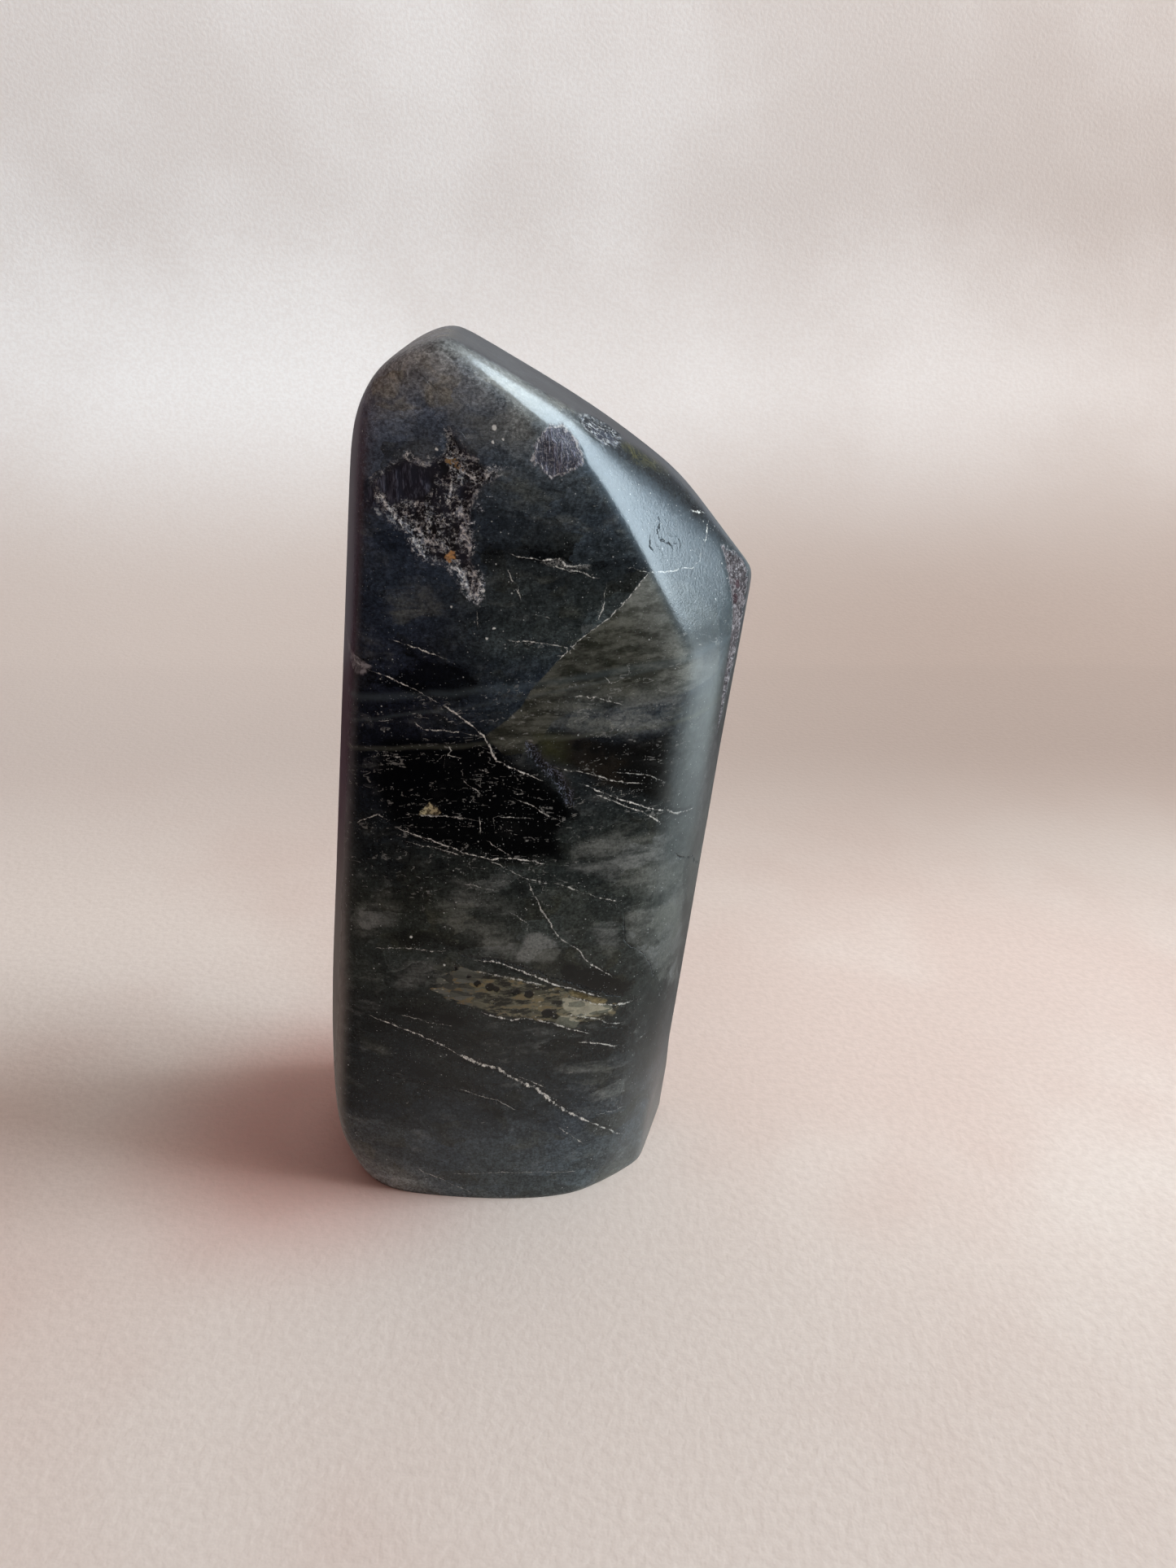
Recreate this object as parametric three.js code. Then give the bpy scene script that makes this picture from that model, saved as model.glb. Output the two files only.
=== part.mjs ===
// A polished labradorite freeform: one solid stone, ground into flat facets that meet in softened edges,
// leaning a little to the right, and cut flat underneath so that it stands.
// Units are millimetres, +Z is up, the front faces -Y, and the origin is the middle of the bounding box's floor.

import * as THREE from 'three';
import { mergeVertices } from 'three/addons/utils/BufferGeometryUtils.js';

// Every facet is placed by its distance from this point in the middle of the stone.
const CORE = new THREE.Vector3(-1.05, -1.0, 50);

// faces: compass direction in degrees, 0 to the front (-Y) and 90 to the right (+X).
// looksUp: degrees above the horizon. distance: from CORE, in mm.
const FACETS = [
  { name: 'front, left part', faces: -8, looksUp: 0.5, distance: 14.4 },
  { name: 'front', faces: 1, looksUp: 1, distance: 13.6 },
  { name: 'front, right part', faces: 12, looksUp: 0.5, distance: 14.0 },
  { name: 'front right bevel', faces: 46, looksUp: -4, distance: 19.8 },
  { name: 'right side', faces: 73, looksUp: -6, distance: 22.5 },
  { name: 'back right bevel', faces: 135, looksUp: -4, distance: 22.0 },
  { name: 'back', faces: 180, looksUp: 2, distance: 14.0 },
  { name: 'back left bevel', faces: -140, looksUp: 5, distance: 20.0 },
  { name: 'left side', faces: -98, looksUp: 7, distance: 22.5 },
  { name: 'front left bevel', faces: -73.5, looksUp: 6.8, distance: 21.85 },
  { name: 'upper slope', faces: 96, looksUp: 59.1, distance: 48.8 },
  { name: 'middle slope', faces: 97.5, looksUp: 52.2, distance: 46.8 },
  { name: 'lower slope', faces: 93.5, looksUp: 39.1, distance: 42.9 },
  { name: 'upper slope bevel', faces: 60, looksUp: 41, distance: 42.9 },
  { name: 'lower slope bevel', faces: 55, looksUp: 27.5, distance: 35.55 },
  { name: 'upper crown bevel', faces: 42, looksUp: 40, distance: 42.95 },
  { name: 'middle crown bevel', faces: 41, looksUp: 26.5, distance: 34.75 },
  { name: 'lower crown bevel', faces: 46, looksUp: 19.5, distance: 30.0 },
  { name: 'lowest crown bevel', faces: 47, looksUp: 15.5, distance: 27.9 },
  { name: 'back crown bevel', faces: 165, looksUp: 42, distance: 45.0 },
  { name: 'left shoulder', faces: -91, looksUp: 39, distance: 45.2 },
  { name: 'peak', faces: -90, looksUp: 71, distance: 58.3 },
  { name: 'lower left side', faces: -84, looksUp: -5, distance: 29.8 },
  { name: 'left foot corner', faces: -39, looksUp: -17, distance: 34.6 },
  { name: 'left foot side', faces: -74, looksUp: -27, distance: 43.6 },
  { name: 'right foot corner', faces: 40, looksUp: -24, distance: 34.9 },
];

// How softly two facets run into each other: crisp edges round the crown, rubbed ones lower down.
const CROWN_SOFTNESS = 0.4;
const LOWER_SOFTNESS = 0.95;
const CRISP_ABOVE = 80;
const SOFT_BELOW = 45;

// The rounding under the stone is cut off by a flat saw cut, this far above where it would have ended.
const BASE_CUT = 2;

// Where the rock broke out before it was polished: shallow hollows left below the facets.
// at: the middle of the hollow. radius and depth in mm.
const HOLLOWS = [
  { name: 'shoulder crust', at: [-7.5, -13.9, 94.5], radius: 6.5, depth: 0.5 },
  { name: 'tail of the shoulder crust', at: [-5.5, -14, 87.5], radius: 3.6, depth: 0.5 },
  { name: 'crown crust', at: [4.8, -13.4, 98.8], radius: 3.4, depth: 0.5 },
  { name: 'slope crust', at: [8.8, -6.5, 100.6], radius: 3.4, depth: 0.5 },
  { name: 'bevel crust', at: [15.4, -10.9, 90.8], radius: 3.2, depth: 0.4 },
  { name: 'right edge crust', at: [24.4, -3.5, 77], radius: 6, depth: 0.5 },
  { name: 'middle pit', at: [3.4, -13.9, 62], radius: 3.6, depth: 0.5 },
  { name: 'foot chip', at: [4.6, -14.3, 0.6], radius: 2.8, depth: 0.7 },
  { name: 'back crust', at: [6, 13.6, 70], radius: 7, depth: 0.6 },
];

// The grid of a box is pushed out to the polished surface. Its sizes give evenly spaced points.
const GRID = { width: 44, depth: 27, height: 106 };
const CELLS = { width: 22, depth: 14, height: 42 };
// The top of the grid fans out from this height on the core line.
const FAN_HEIGHT = 84;
// The core line leans as the stone does, in mm across for each mm up.
const LEAN = 0.12;
const FARTHEST = 90;
const HALVINGS = 40;

function facetNormal({ faces, looksUp }) {
  const compass = THREE.MathUtils.degToRad(faces);
  const rise = THREE.MathUtils.degToRad(looksUp);
  const across = Math.cos(rise);
  return new THREE.Vector3(Math.sin(compass) * across, -Math.cos(compass) * across, Math.sin(rise));
}

const PLANES = FACETS.map((facet) => ({ normal: facetNormal(facet), distance: facet.distance }));

function softnessAt(height) {
  const crisp = THREE.MathUtils.smoothstep(height, SOFT_BELOW, CRISP_ABOVE);
  return THREE.MathUtils.lerp(LOWER_SOFTNESS, CROWN_SOFTNESS, crisp);
}

// Negative inside the stone, positive outside: the soft maximum of how far a point lies past each facet.
function pastSurface(point) {
  const softness = softnessAt(point.z);
  const fromCore = point.clone().sub(CORE);
  const past = PLANES.map(({ normal, distance }) => (normal.dot(fromCore) - distance) / softness);
  past.push(-(point.z + BASE_CUT) / softness);
  const most = Math.max(...past);
  return softness * (most + Math.log(past.reduce((sum, value) => sum + Math.exp(value - most), 0)));
}

// The point where a line from inside the stone leaves it.
function surfacePoint(from, direction) {
  let inside = 0;
  let outside = FARTHEST;
  const point = new THREE.Vector3();
  for (let i = 0; i < HALVINGS; i += 1) {
    const middle = (inside + outside) / 2;
    point.copy(from).addScaledVector(direction, middle);
    if (pastSurface(point) > 0) outside = middle;
    else inside = middle;
  }
  return from.clone().addScaledVector(direction, inside);
}

// A hollow is a smooth bowl: deepest in its middle and gone at its radius.
function sinkIntoHollows(point, inward) {
  const sunk = point.clone();
  for (const { at, radius, depth } of HOLLOWS) {
    const away = point.distanceTo(new THREE.Vector3(...at)) / radius;
    if (away < 1) sunk.addScaledVector(inward, depth * (1 - away * away) ** 2);
  }
  sunk.z = Math.max(sunk.z, 0);
  return sunk;
}

function coreLine(height) {
  return new THREE.Vector3(CORE.x + (height - CORE.z) * LEAN, CORE.y, height);
}

// The foot of the stone is the level outline of its sides at the floor, filled in flat.
function basePoint(grid) {
  const middle = coreLine(0);
  const share = Math.max(Math.abs(grid.x) / (GRID.width / 2), Math.abs(grid.y) / (GRID.depth / 2));
  if (share === 0) return middle;
  const direction = new THREE.Vector3(grid.x, grid.y, 0).normalize();
  return middle.lerp(surfacePoint(middle, direction), share);
}

function stonePoint(grid) {
  const height = grid.z + GRID.height / 2;
  if (height < 1e-3) return basePoint(grid);
  const from = coreLine(Math.min(height, FAN_HEIGHT));
  const direction = new THREE.Vector3(grid.x, grid.y, height - from.z).normalize();
  return sinkIntoHollows(surfacePoint(from, direction), direction.clone().negate());
}

function stoneGeometry() {
  let geometry = new THREE.BoxGeometry(
    GRID.width, GRID.depth, GRID.height, CELLS.width, CELLS.depth, CELLS.height,
  );
  geometry.deleteAttribute('normal');
  geometry.deleteAttribute('uv');
  geometry = mergeVertices(geometry);
  const position = geometry.getAttribute('position');
  const grid = new THREE.Vector3();
  for (let i = 0; i < position.count; i += 1) {
    grid.fromBufferAttribute(position, i);
    position.setXYZ(i, ...stonePoint(grid).toArray());
  }
  geometry.computeVertexNormals();
  return geometry;
}

function polishedStone() {
  const material = new THREE.MeshStandardMaterial({ color: 0x2b3030, roughness: 0.2, metalness: 0 });
  const stone = new THREE.Mesh(stoneGeometry(), material);
  stone.name = 'stone';
  return stone;
}

const labradorite = new THREE.Group();
labradorite.add(polishedStone());

export default labradorite;
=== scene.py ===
# %% [markdown]
# # A polished labradorite
#
# This lesson dresses one piece of rock: a labradorite freeform, cut and polished to stand on its foot.
# The CAD model gives its facets. Here the same facets are cut much finer, the unpolished pits are sunk
# into them, and one procedural material paints the rock: black and olive beds, pale clouds, healed cracks,
# crusts and a golden lens. Lengths are in millimetres until a mesh is made, because a stone is small.

# %% The frame
from functools import reduce
from math import cos, pi, radians, sin

import bpy
import numpy as np
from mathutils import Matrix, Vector, noise


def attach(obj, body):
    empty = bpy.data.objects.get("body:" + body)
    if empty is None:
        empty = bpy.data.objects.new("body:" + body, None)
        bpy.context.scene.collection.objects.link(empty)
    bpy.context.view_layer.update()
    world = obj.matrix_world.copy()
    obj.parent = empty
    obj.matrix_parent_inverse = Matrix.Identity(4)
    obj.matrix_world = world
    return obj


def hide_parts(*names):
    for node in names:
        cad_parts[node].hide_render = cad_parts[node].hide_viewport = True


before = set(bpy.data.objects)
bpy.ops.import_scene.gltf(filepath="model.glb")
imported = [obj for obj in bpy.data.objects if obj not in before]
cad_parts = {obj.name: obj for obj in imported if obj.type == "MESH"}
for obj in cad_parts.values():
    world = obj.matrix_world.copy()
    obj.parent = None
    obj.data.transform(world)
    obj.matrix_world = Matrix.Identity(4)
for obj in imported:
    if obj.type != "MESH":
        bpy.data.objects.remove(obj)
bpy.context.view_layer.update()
MM = 0.001

# %% [markdown]
# ## The facets
#
# The real stone was ground on a flat wheel, one facet after another, and the edges between the facets were
# then rubbed round on a soft pad. It could be sculpted, but a stone is easier to describe by what was done
# to it: each facet is a plane, and a soft maximum of all the planes rounds the edges between them. The
# crown was hardly rubbed, so its edges are crisp, and the lower edges are rounder.

# %% The facet planes
CORE = np.array([-1.05, -1.0, 50.0])
# Each facet: the compass direction it faces (0 front, 90 right) and how far it looks up, in degrees, and
# its distance from CORE. The left facets and the foot's corners differ by up to 1 mm from the CAD model's,
# because the wider rounding here would pull the outline in.
FACETS = {
    "front, left part": (-8, 0.5, 14.4),
    "front": (1, 1, 13.6),
    "front, right part": (12, 0.5, 14.0),
    "front right bevel": (46, -4, 19.8),
    "right side": (73, -6, 22.5),
    "back right bevel": (135, -4, 22.0),
    "back": (180, 2, 14.0),
    "back left bevel": (-140, 5, 20.0),
    "left side": (-98, 7, 23.1),
    "front left bevel": (-73.5, 6.8, 22.4),
    "upper slope": (96, 59.1, 48.8),
    "middle slope": (97.5, 52.2, 46.8),
    "lower slope": (93.5, 39.1, 42.9),
    "upper slope bevel": (60, 41, 42.9),
    "lower slope bevel": (55, 27.5, 35.55),
    "upper crown bevel": (42, 40, 42.95),
    "middle crown bevel": (41, 26.5, 34.75),
    "lower crown bevel": (46, 19.5, 30.0),
    "lowest crown bevel": (47, 15.5, 27.9),
    "back crown bevel": (165, 42, 45.0),
    "left shoulder": (-91, 39, 45.35),
    "peak": (-90, 71, 58.6),
    "lower left side": (-84, -5, 29.9),
    "left foot corner": (-39, -17, 35.0),
    "left foot side": (-74, -27, 44.6),
    "right foot corner": (40, -24, 34.45),
}
# How wide the rounding is, and where one kind turns into the other: up the stone and across its crown,
# then across and up the foot, whose right corner is crisp too.
CRISP, RUBBED = 0.35, 0.95
CRISP_ABOVE, RUBBED_BELOW = 86, 58
RUBBED_LEFT = (-12, -2)
CRISP_FOOT_RIGHT, RUBBED_FOOT_ABOVE = (8, 16), (6, 14)
BASE_CUT = 2


def facet_normal(faces, looks_up, _distance):
    compass, rise = radians(faces), radians(looks_up)
    return sin(compass) * cos(rise), -cos(compass) * cos(rise), sin(rise)


NORMALS = np.array([facet_normal(*facet) for facet in FACETS.values()] + [(0, 0, -1)])
DISTANCES = np.array([facet[2] for facet in FACETS.values()] + [CORE[2] + BASE_CUT])
print(len(FACETS), "facets and a saw cut")

# %% Rounding between the facets


def smooth_rise(value, low, high):
    """0 below low, 1 above high and an S-curve between, for arrays."""
    share = np.clip((value - low) / (high - low), 0, 1)
    return share * share * (3 - 2 * share)


def facet_shares(points):
    """How far each point lies past the rounded surface, and each facet's share in it there."""
    crisp = smooth_rise(points[:, 2], RUBBED_BELOW, CRISP_ABOVE) * smooth_rise(points[:, 0], *RUBBED_LEFT)
    foot = smooth_rise(points[:, 0], *CRISP_FOOT_RIGHT) * (1 - smooth_rise(points[:, 2], *RUBBED_FOOT_ABOVE))
    softness = RUBBED + (CRISP - RUBBED) * np.maximum(crisp, foot)
    past = ((points - CORE) @ NORMALS.T - DISTANCES) / softness[:, None]
    most = past.max(1)
    weights = np.exp(past - most[:, None])
    total = weights.sum(1)
    return softness * (most + np.log(total)), weights / total[:, None]


def surface_points(start, direction, farthest=90, halvings=28):
    """Where lines from inside the stone leave it, found by halving."""
    inside = np.zeros(len(start))
    outside = np.full(len(start), float(farthest))
    for _ in range(halvings):
        middle = (inside + outside) / 2
        beyond = facet_shares(start + direction * middle[:, None])[0] > 0
        outside = np.where(beyond, middle, outside)
        inside = np.where(beyond, inside, middle)
    return start + direction * inside[:, None]


print("rounding in mm:", CRISP, "where crisp,", RUBBED, "where rubbed")

# %% [markdown]
# ## The mesh
#
# A box of small squares is pushed out to the rounded surface, as the CAD model is, but with squares of
# less than half a millimetre. That keeps long even rows of faces, which take a polish without dents, and
# each side of the box gives a flat island for the texture map.

# %% A box of small squares
GRID = np.array([44.0, 27.0, 106.0])
CELLS = np.array([104, 64, 230])
# The six sides: the fixed axis, which end of it, and the two axes that run along the side, facing out.
SIDES = {
    "front": (1, 0, 0, 2),
    "right": (0, 1, 1, 2),
    "back": (1, 1, 0, 2),
    "left": (0, 0, 1, 2),
    "top": (2, 1, 0, 1),
    "foot": (2, 0, 0, 1),
}
FACES_IN = {"back": True, "left": True, "foot": True}
# Where each side's island lies on the texture map, in mm from the map's corner.
ISLAND_GAP = 1.5
UPPER_ROW = GRID[2] + 2 * ISLAND_GAP
ISLANDS = {"top": (ISLAND_GAP, UPPER_ROW), "foot": (GRID[0] + 2 * ISLAND_GAP, UPPER_ROW)}
across = ISLAND_GAP
for name in ("front", "right", "back", "left"):
    ISLANDS[name] = (across, ISLAND_GAP)
    across += GRID[SIDES[name][2]] + ISLAND_GAP
MAP_SIZE = across


def side_squares(name):
    """The corners of one side's squares as whole steps of the grid, and their places on the map."""
    fixed, end, along, up = SIDES[name]
    first, second = np.meshgrid(np.arange(CELLS[along]), np.arange(CELLS[up]), indexing="ij")
    turn = [(0, 0), (0, 1), (1, 1), (1, 0)] if name in FACES_IN else [(0, 0), (1, 0), (1, 1), (0, 1)]
    steps = np.zeros((first.size, 4, 3), int)
    places = np.zeros((first.size, 4, 2))
    for corner, (one, two) in enumerate(turn):
        steps[:, corner, fixed] = end * CELLS[fixed]
        steps[:, corner, along] = first.ravel() + one
        steps[:, corner, up] = second.ravel() + two
        places[:, corner, 0] = (first.ravel() + one) / CELLS[along] * GRID[along] + ISLANDS[name][0]
        places[:, corner, 1] = (second.ravel() + two) / CELLS[up] * GRID[up] + ISLANDS[name][1]
    return steps.reshape(-1, 3), places.reshape(-1, 2) / MAP_SIZE


sides = [side_squares(name) for name in SIDES]
corner_steps = np.concatenate([side[0] for side in sides])
map_places = np.concatenate([side[1] for side in sides])
grid_steps, corner_vertices = np.unique(corner_steps, axis=0, return_inverse=True)
squares = corner_vertices.reshape(-1, 4)
print(len(grid_steps), "vertices,", len(squares), "squares")

# %% Pushing the box out to the polished surface
FAN_HEIGHT = 84
LEAN = 0.12


def core_line(height):
    return np.stack([CORE[0] + (height - CORE[2]) * LEAN, np.full_like(height, CORE[1]), height], 1)


def unit(vectors):
    return vectors / np.linalg.norm(vectors, axis=1)[:, None].clip(1e-9)


grid = grid_steps / CELLS * GRID - np.array([GRID[0] / 2, GRID[1] / 2, 0])
start = core_line(np.minimum(grid[:, 2], FAN_HEIGHT))
direction = unit(grid - start * (0, 0, 1))
on_foot = grid[:, 2] < 0.001
start[on_foot] = core_line(np.zeros(on_foot.sum()))
direction[on_foot] = unit(grid[on_foot] * (1, 1, 0))
polished = surface_points(start, direction)
share = np.maximum(abs(grid[:, 0]) / (GRID[0] / 2), abs(grid[:, 1]) / (GRID[1] / 2))
polished[on_foot] = start[on_foot] + (polished - start)[on_foot] * share[on_foot, None]
shares = facet_shares(polished)[1]
outward = unit(shares @ NORMALS)
outward[on_foot] = (0, 0, -1)
print("polished surface, mm:", polished.min(0).round(1), polished.max(0).round(1))

# %% [markdown]
# ## Drawing marks on the rock
#
# Beds, cracks and crusts are drawn as outlines and lines in millimetres across the front. Rock is solid,
# so a mark goes on inside it: each one is carried through the stone along a slant and comes out on the
# sides and the back. What the mesh stores is not a colour but a distance, how far each vertex lies from
# the edge of a bed or the line of a crack. A distance changes evenly from vertex to vertex, so the
# material can draw a line thinner than one square and keep it sharp.

# %% The plane of the marks
FRONT_Y = -14
SLANT_ACROSS, SLANT_UP = 0.15, -0.2
depth_in = polished[:, 1] - FRONT_Y
mark_x = polished[:, 0] + SLANT_ACROSS * depth_in
mark_z = polished[:, 2] + SLANT_UP * depth_in
on_front = depth_in < 13
layers = {}
print("vertices in the front half:", on_front.sum())


def segments(points, closed):
    """Each stretch of a line with its length and the length before it."""
    points = np.array(points, float)
    ends = np.roll(points, -1, axis=0) if closed else points[1:]
    lengths = np.linalg.norm(ends - points[: len(ends)], axis=1)
    return list(zip(points, ends, lengths, np.concatenate([[0], np.cumsum(lengths)[:-1]])))


def inside_distance(outline, x, z):
    """The distance to a closed outline, positive inside it."""
    nearest = np.full(len(x), np.inf)
    inside = np.zeros(len(x), bool)
    for a, b, length, _ in segments(outline, closed=True):
        along = np.clip(((x - a[0]) * (b[0] - a[0]) + (z - a[1]) * (b[1] - a[1])) / length**2, 0, 1)
        gap = np.hypot(x - a[0] - along * (b[0] - a[0]), z - a[1] - along * (b[1] - a[1]))
        nearest = np.minimum(nearest, gap)
        crosses = (a[1] > z) != (b[1] > z)
        rise = b[1] - a[1] if b[1] != a[1] else 1e-9
        inside ^= crosses & (x < (b[0] - a[0]) * (z - a[1]) / rise + a[0])
    return np.where(inside, nearest, -nearest)


def line_layers(name, lines, fade=2.5):
    """Stores how far each vertex lies beside its nearest line, and that line's width, which tapers off."""
    nearest = np.full(len(mark_x), np.inf)
    beside = np.zeros(len(mark_x))
    width = np.zeros(len(mark_x))
    for line_width, reach, points in lines:
        stretches = segments(points, closed=False)
        whole = stretches[-1][2] + stretches[-1][3]
        for a, b, length, before in stretches:
            dx, dz = (b - a) / length
            along = np.clip((mark_x - a[0]) * dx + (mark_z - a[1]) * dz, 0, length)
            gap_x, gap_z = mark_x - a[0] - along * dx, mark_z - a[1] - along * dz
            gap = np.hypot(gap_x, gap_z)
            closer = gap < nearest
            nearest[closer] = gap[closer]
            beside[closer] = (np.sign(dx * gap_z - dz * gap_x) * gap)[closer]
            to_end = np.minimum(before + along, whole - before - along)
            taper = smooth_rise(to_end, -0.3, fade) * (1 - smooth_rise(depth_in, reach, reach + 6))
            width[closer] = (line_width * taper)[closer]
    width[nearest > 1.5] = 0
    layers[name + " side"] = beside.clip(-3, 3)
    layers[name + " width"] = width
    print(name, len(lines), "lines")


# %% [markdown]
# ## The cracks
#
# The stone is full of old cracks. Most have healed with pale feldspar and show as white threads that run
# down to the right, and a few are open and dark. Each line below is a width, how deep it goes into the
# stone, and its points. Neighbours that run close together are in different groups, because a vertex
# only knows its nearest line of each group.

# %% Lines of the cracks
THROUGH, DEEP, SHALLOW = 40, 18, 6
BOLD = [
    (0.15, THROUGH, [(-19.9, 29.7), (-18.1, 29), (-15.1, 27.9), (-10.9, 26), (-8.5, 24.4)]),
    (0.36, THROUGH, [(-10.9, 26), (-8.5, 24.4), (-6.3, 23.2), (-3.6, 22.3), (-1.2, 20.4), (1.3, 18.9),
                     (3.2, 16.6), (6, 14), (8.7, 12)]),
    (0.13, THROUGH, [(6, 14), (8.7, 12), (11, 9.9), (13.6, 7)]),
    (0.13, THROUGH, [(-21.5, 78.6), (-17.2, 76.4), (-15.6, 75.8), (-13.9, 75.3), (-12.5, 74.7), (-10, 73.5),
                     (-7.9, 72.3)]),
    (0.15, THROUGH, [(-10, 73.5), (-7.9, 72.3), (-5.7, 70.6), (-3.6, 68.6), (-2.3, 65.7), (-0.5, 64.6),
                     (0.8, 64), (3.2, 62.8)]),
    (0.15, THROUGH, [(6.7, 62.5), (8.2, 61.7), (10.9, 60.1), (14.8, 58.2), (17.8, 56.8), (19.2, 55.8),
                     (22.3, 54.4)]),
    (0.12, DEEP, [(-14.4, 56.8), (-12.6, 56.1), (-11.4, 55.8), (-9.6, 55), (-7.4, 54.3), (-5.9, 53.5),
                  (-3.1, 53), (-1, 53), (0.9, 52.7), (3.8, 51.8)]),
    (0.2, DEEP, [(-6.2, 39), (-2.6, 38.5), (1.3, 36.5), (4.3, 34.7), (7.2, 33.6), (10.3, 32)]),
    (0.19, DEEP, [(-6.1, 31.4), (-4.5, 30.9), (-1.5, 29.9), (0.1, 30.2), (3.6, 29.1), (5.7, 27.8),
                  (8.6, 26.8)]),
    (0.11, DEEP, [(-13.4, 79.6), (-11.4, 79.1), (-8.8, 78.2), (-6.8, 77.5)]),
    (0.11, SHALLOW, [(-0.4, 89.2), (1.1, 88.9), (3.1, 88.3), (5, 88.5), (5.8, 87.6), (8.6, 87.6)]),
    (0.3, DEEP, [(20.4, 89.4), (21.8, 88.8), (23, 88)]),
]
FINE = [
    (0.14, DEEP, [(-1.1, 21), (0.9, 20), (2.6, 18.8)]),
    (0.1, DEEP, [(-15.7, 30.1), (-11.9, 29.2), (-8.9, 28.9)]),
    (0.12, THROUGH, [(0.8, 50), (1.9, 47.3), (2.9, 44.9), (4.4, 42), (6, 40.5), (7, 39.6), (7.6, 38.3),
                     (9, 36.9), (10.5, 35.7), (11.4, 34.8)]),
    (0.11, DEEP, [(-11.4, 70.2), (-10.2, 69.2), (-8.1, 69.2), (-6.1, 69), (-4, 68.7)]),
    (0.12, SHALLOW, [(-13.1, 58.6), (-11.6, 58.5), (-9, 58.5), (-6.5, 58.3), (-3.9, 57.8)]),
    (0.09, DEEP, [(-13.4, 55), (-11.2, 54.5), (-9.3, 54.2), (-7.4, 53.6), (-5.9, 53.5)]),
    (0.1, DEEP, [(-0.8, 61.1), (1.2, 60), (3.8, 58.3), (5.5, 57.3)]),
    (0.12, DEEP, [(4.3, 64.5), (8.4, 63.3), (11.7, 61.9), (15, 61.2)]),
    (0.11, DEEP, [(8.8, 60.8), (11.7, 59.1), (15.1, 57.3), (17.4, 55.1)]),
    (0.11, DEEP, [(3.9, 49.6), (6.7, 48.2), (9, 47), (12.5, 45.7)]),
    (0.19, DEEP, [(5.7, 33), (9.1, 31.3), (12, 30.5), (14.1, 30.5)]),
    (0.19, DEEP, [(6.7, 25.9), (9.1, 25.2), (12.2, 23.8)]),
    (0.1, DEEP, [(-18.1, 39.7), (-15.2, 40.1), (-13.3, 40.1), (-11.2, 39.9), (-9.1, 40.2)]),
    (0.09, SHALLOW, [(3.1, 88.1), (7.5, 86.8), (9.6, 85.9)]),
    (0.09, SHALLOW, [(-3.7, 83.5), (-3.8, 80.7)]),
    (0.09, SHALLOW, [(-0.9, 79.9), (1.7, 79.6), (4.3, 79.2), (7, 78.3)]),
    (0.08, SHALLOW, [(5.8, 73.2), (9, 72.6), (11, 71.9), (12.5, 71.2)]),
    (0.1, DEEP, [(15, 86.2), (13.9, 85.3), (12.5, 83.5), (10.4, 81.5), (8.2, 80.3), (6.1, 78.5),
                 (4.3, 76.8)]),
    (0.07, SHALLOW, [(-15.7, 4.9), (-13.7, 3.9), (-11.6, 3), (-9.4, 1.9), (-7.7, 1)]),
    (0.08, SHALLOW, [(4.6, 20.9), (6.5, 21.1)]),
    (0.08, SHALLOW, [(3.8, 12.4), (6.1, 10.2), (7.6, 8.5)]),
    (0.09, DEEP, [(-4, 55.6), (-2.5, 54.5), (-0.6, 53)]),
    (0.1, DEEP, [(-18.9, 56.7), (-17.7, 57.5), (-16.1, 58.3), (-14.8, 57.5)]),
    (0.3, DEEP, [(23.1, 87.4), (22.7, 86.6), (22.3, 85.8)]),
]
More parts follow.
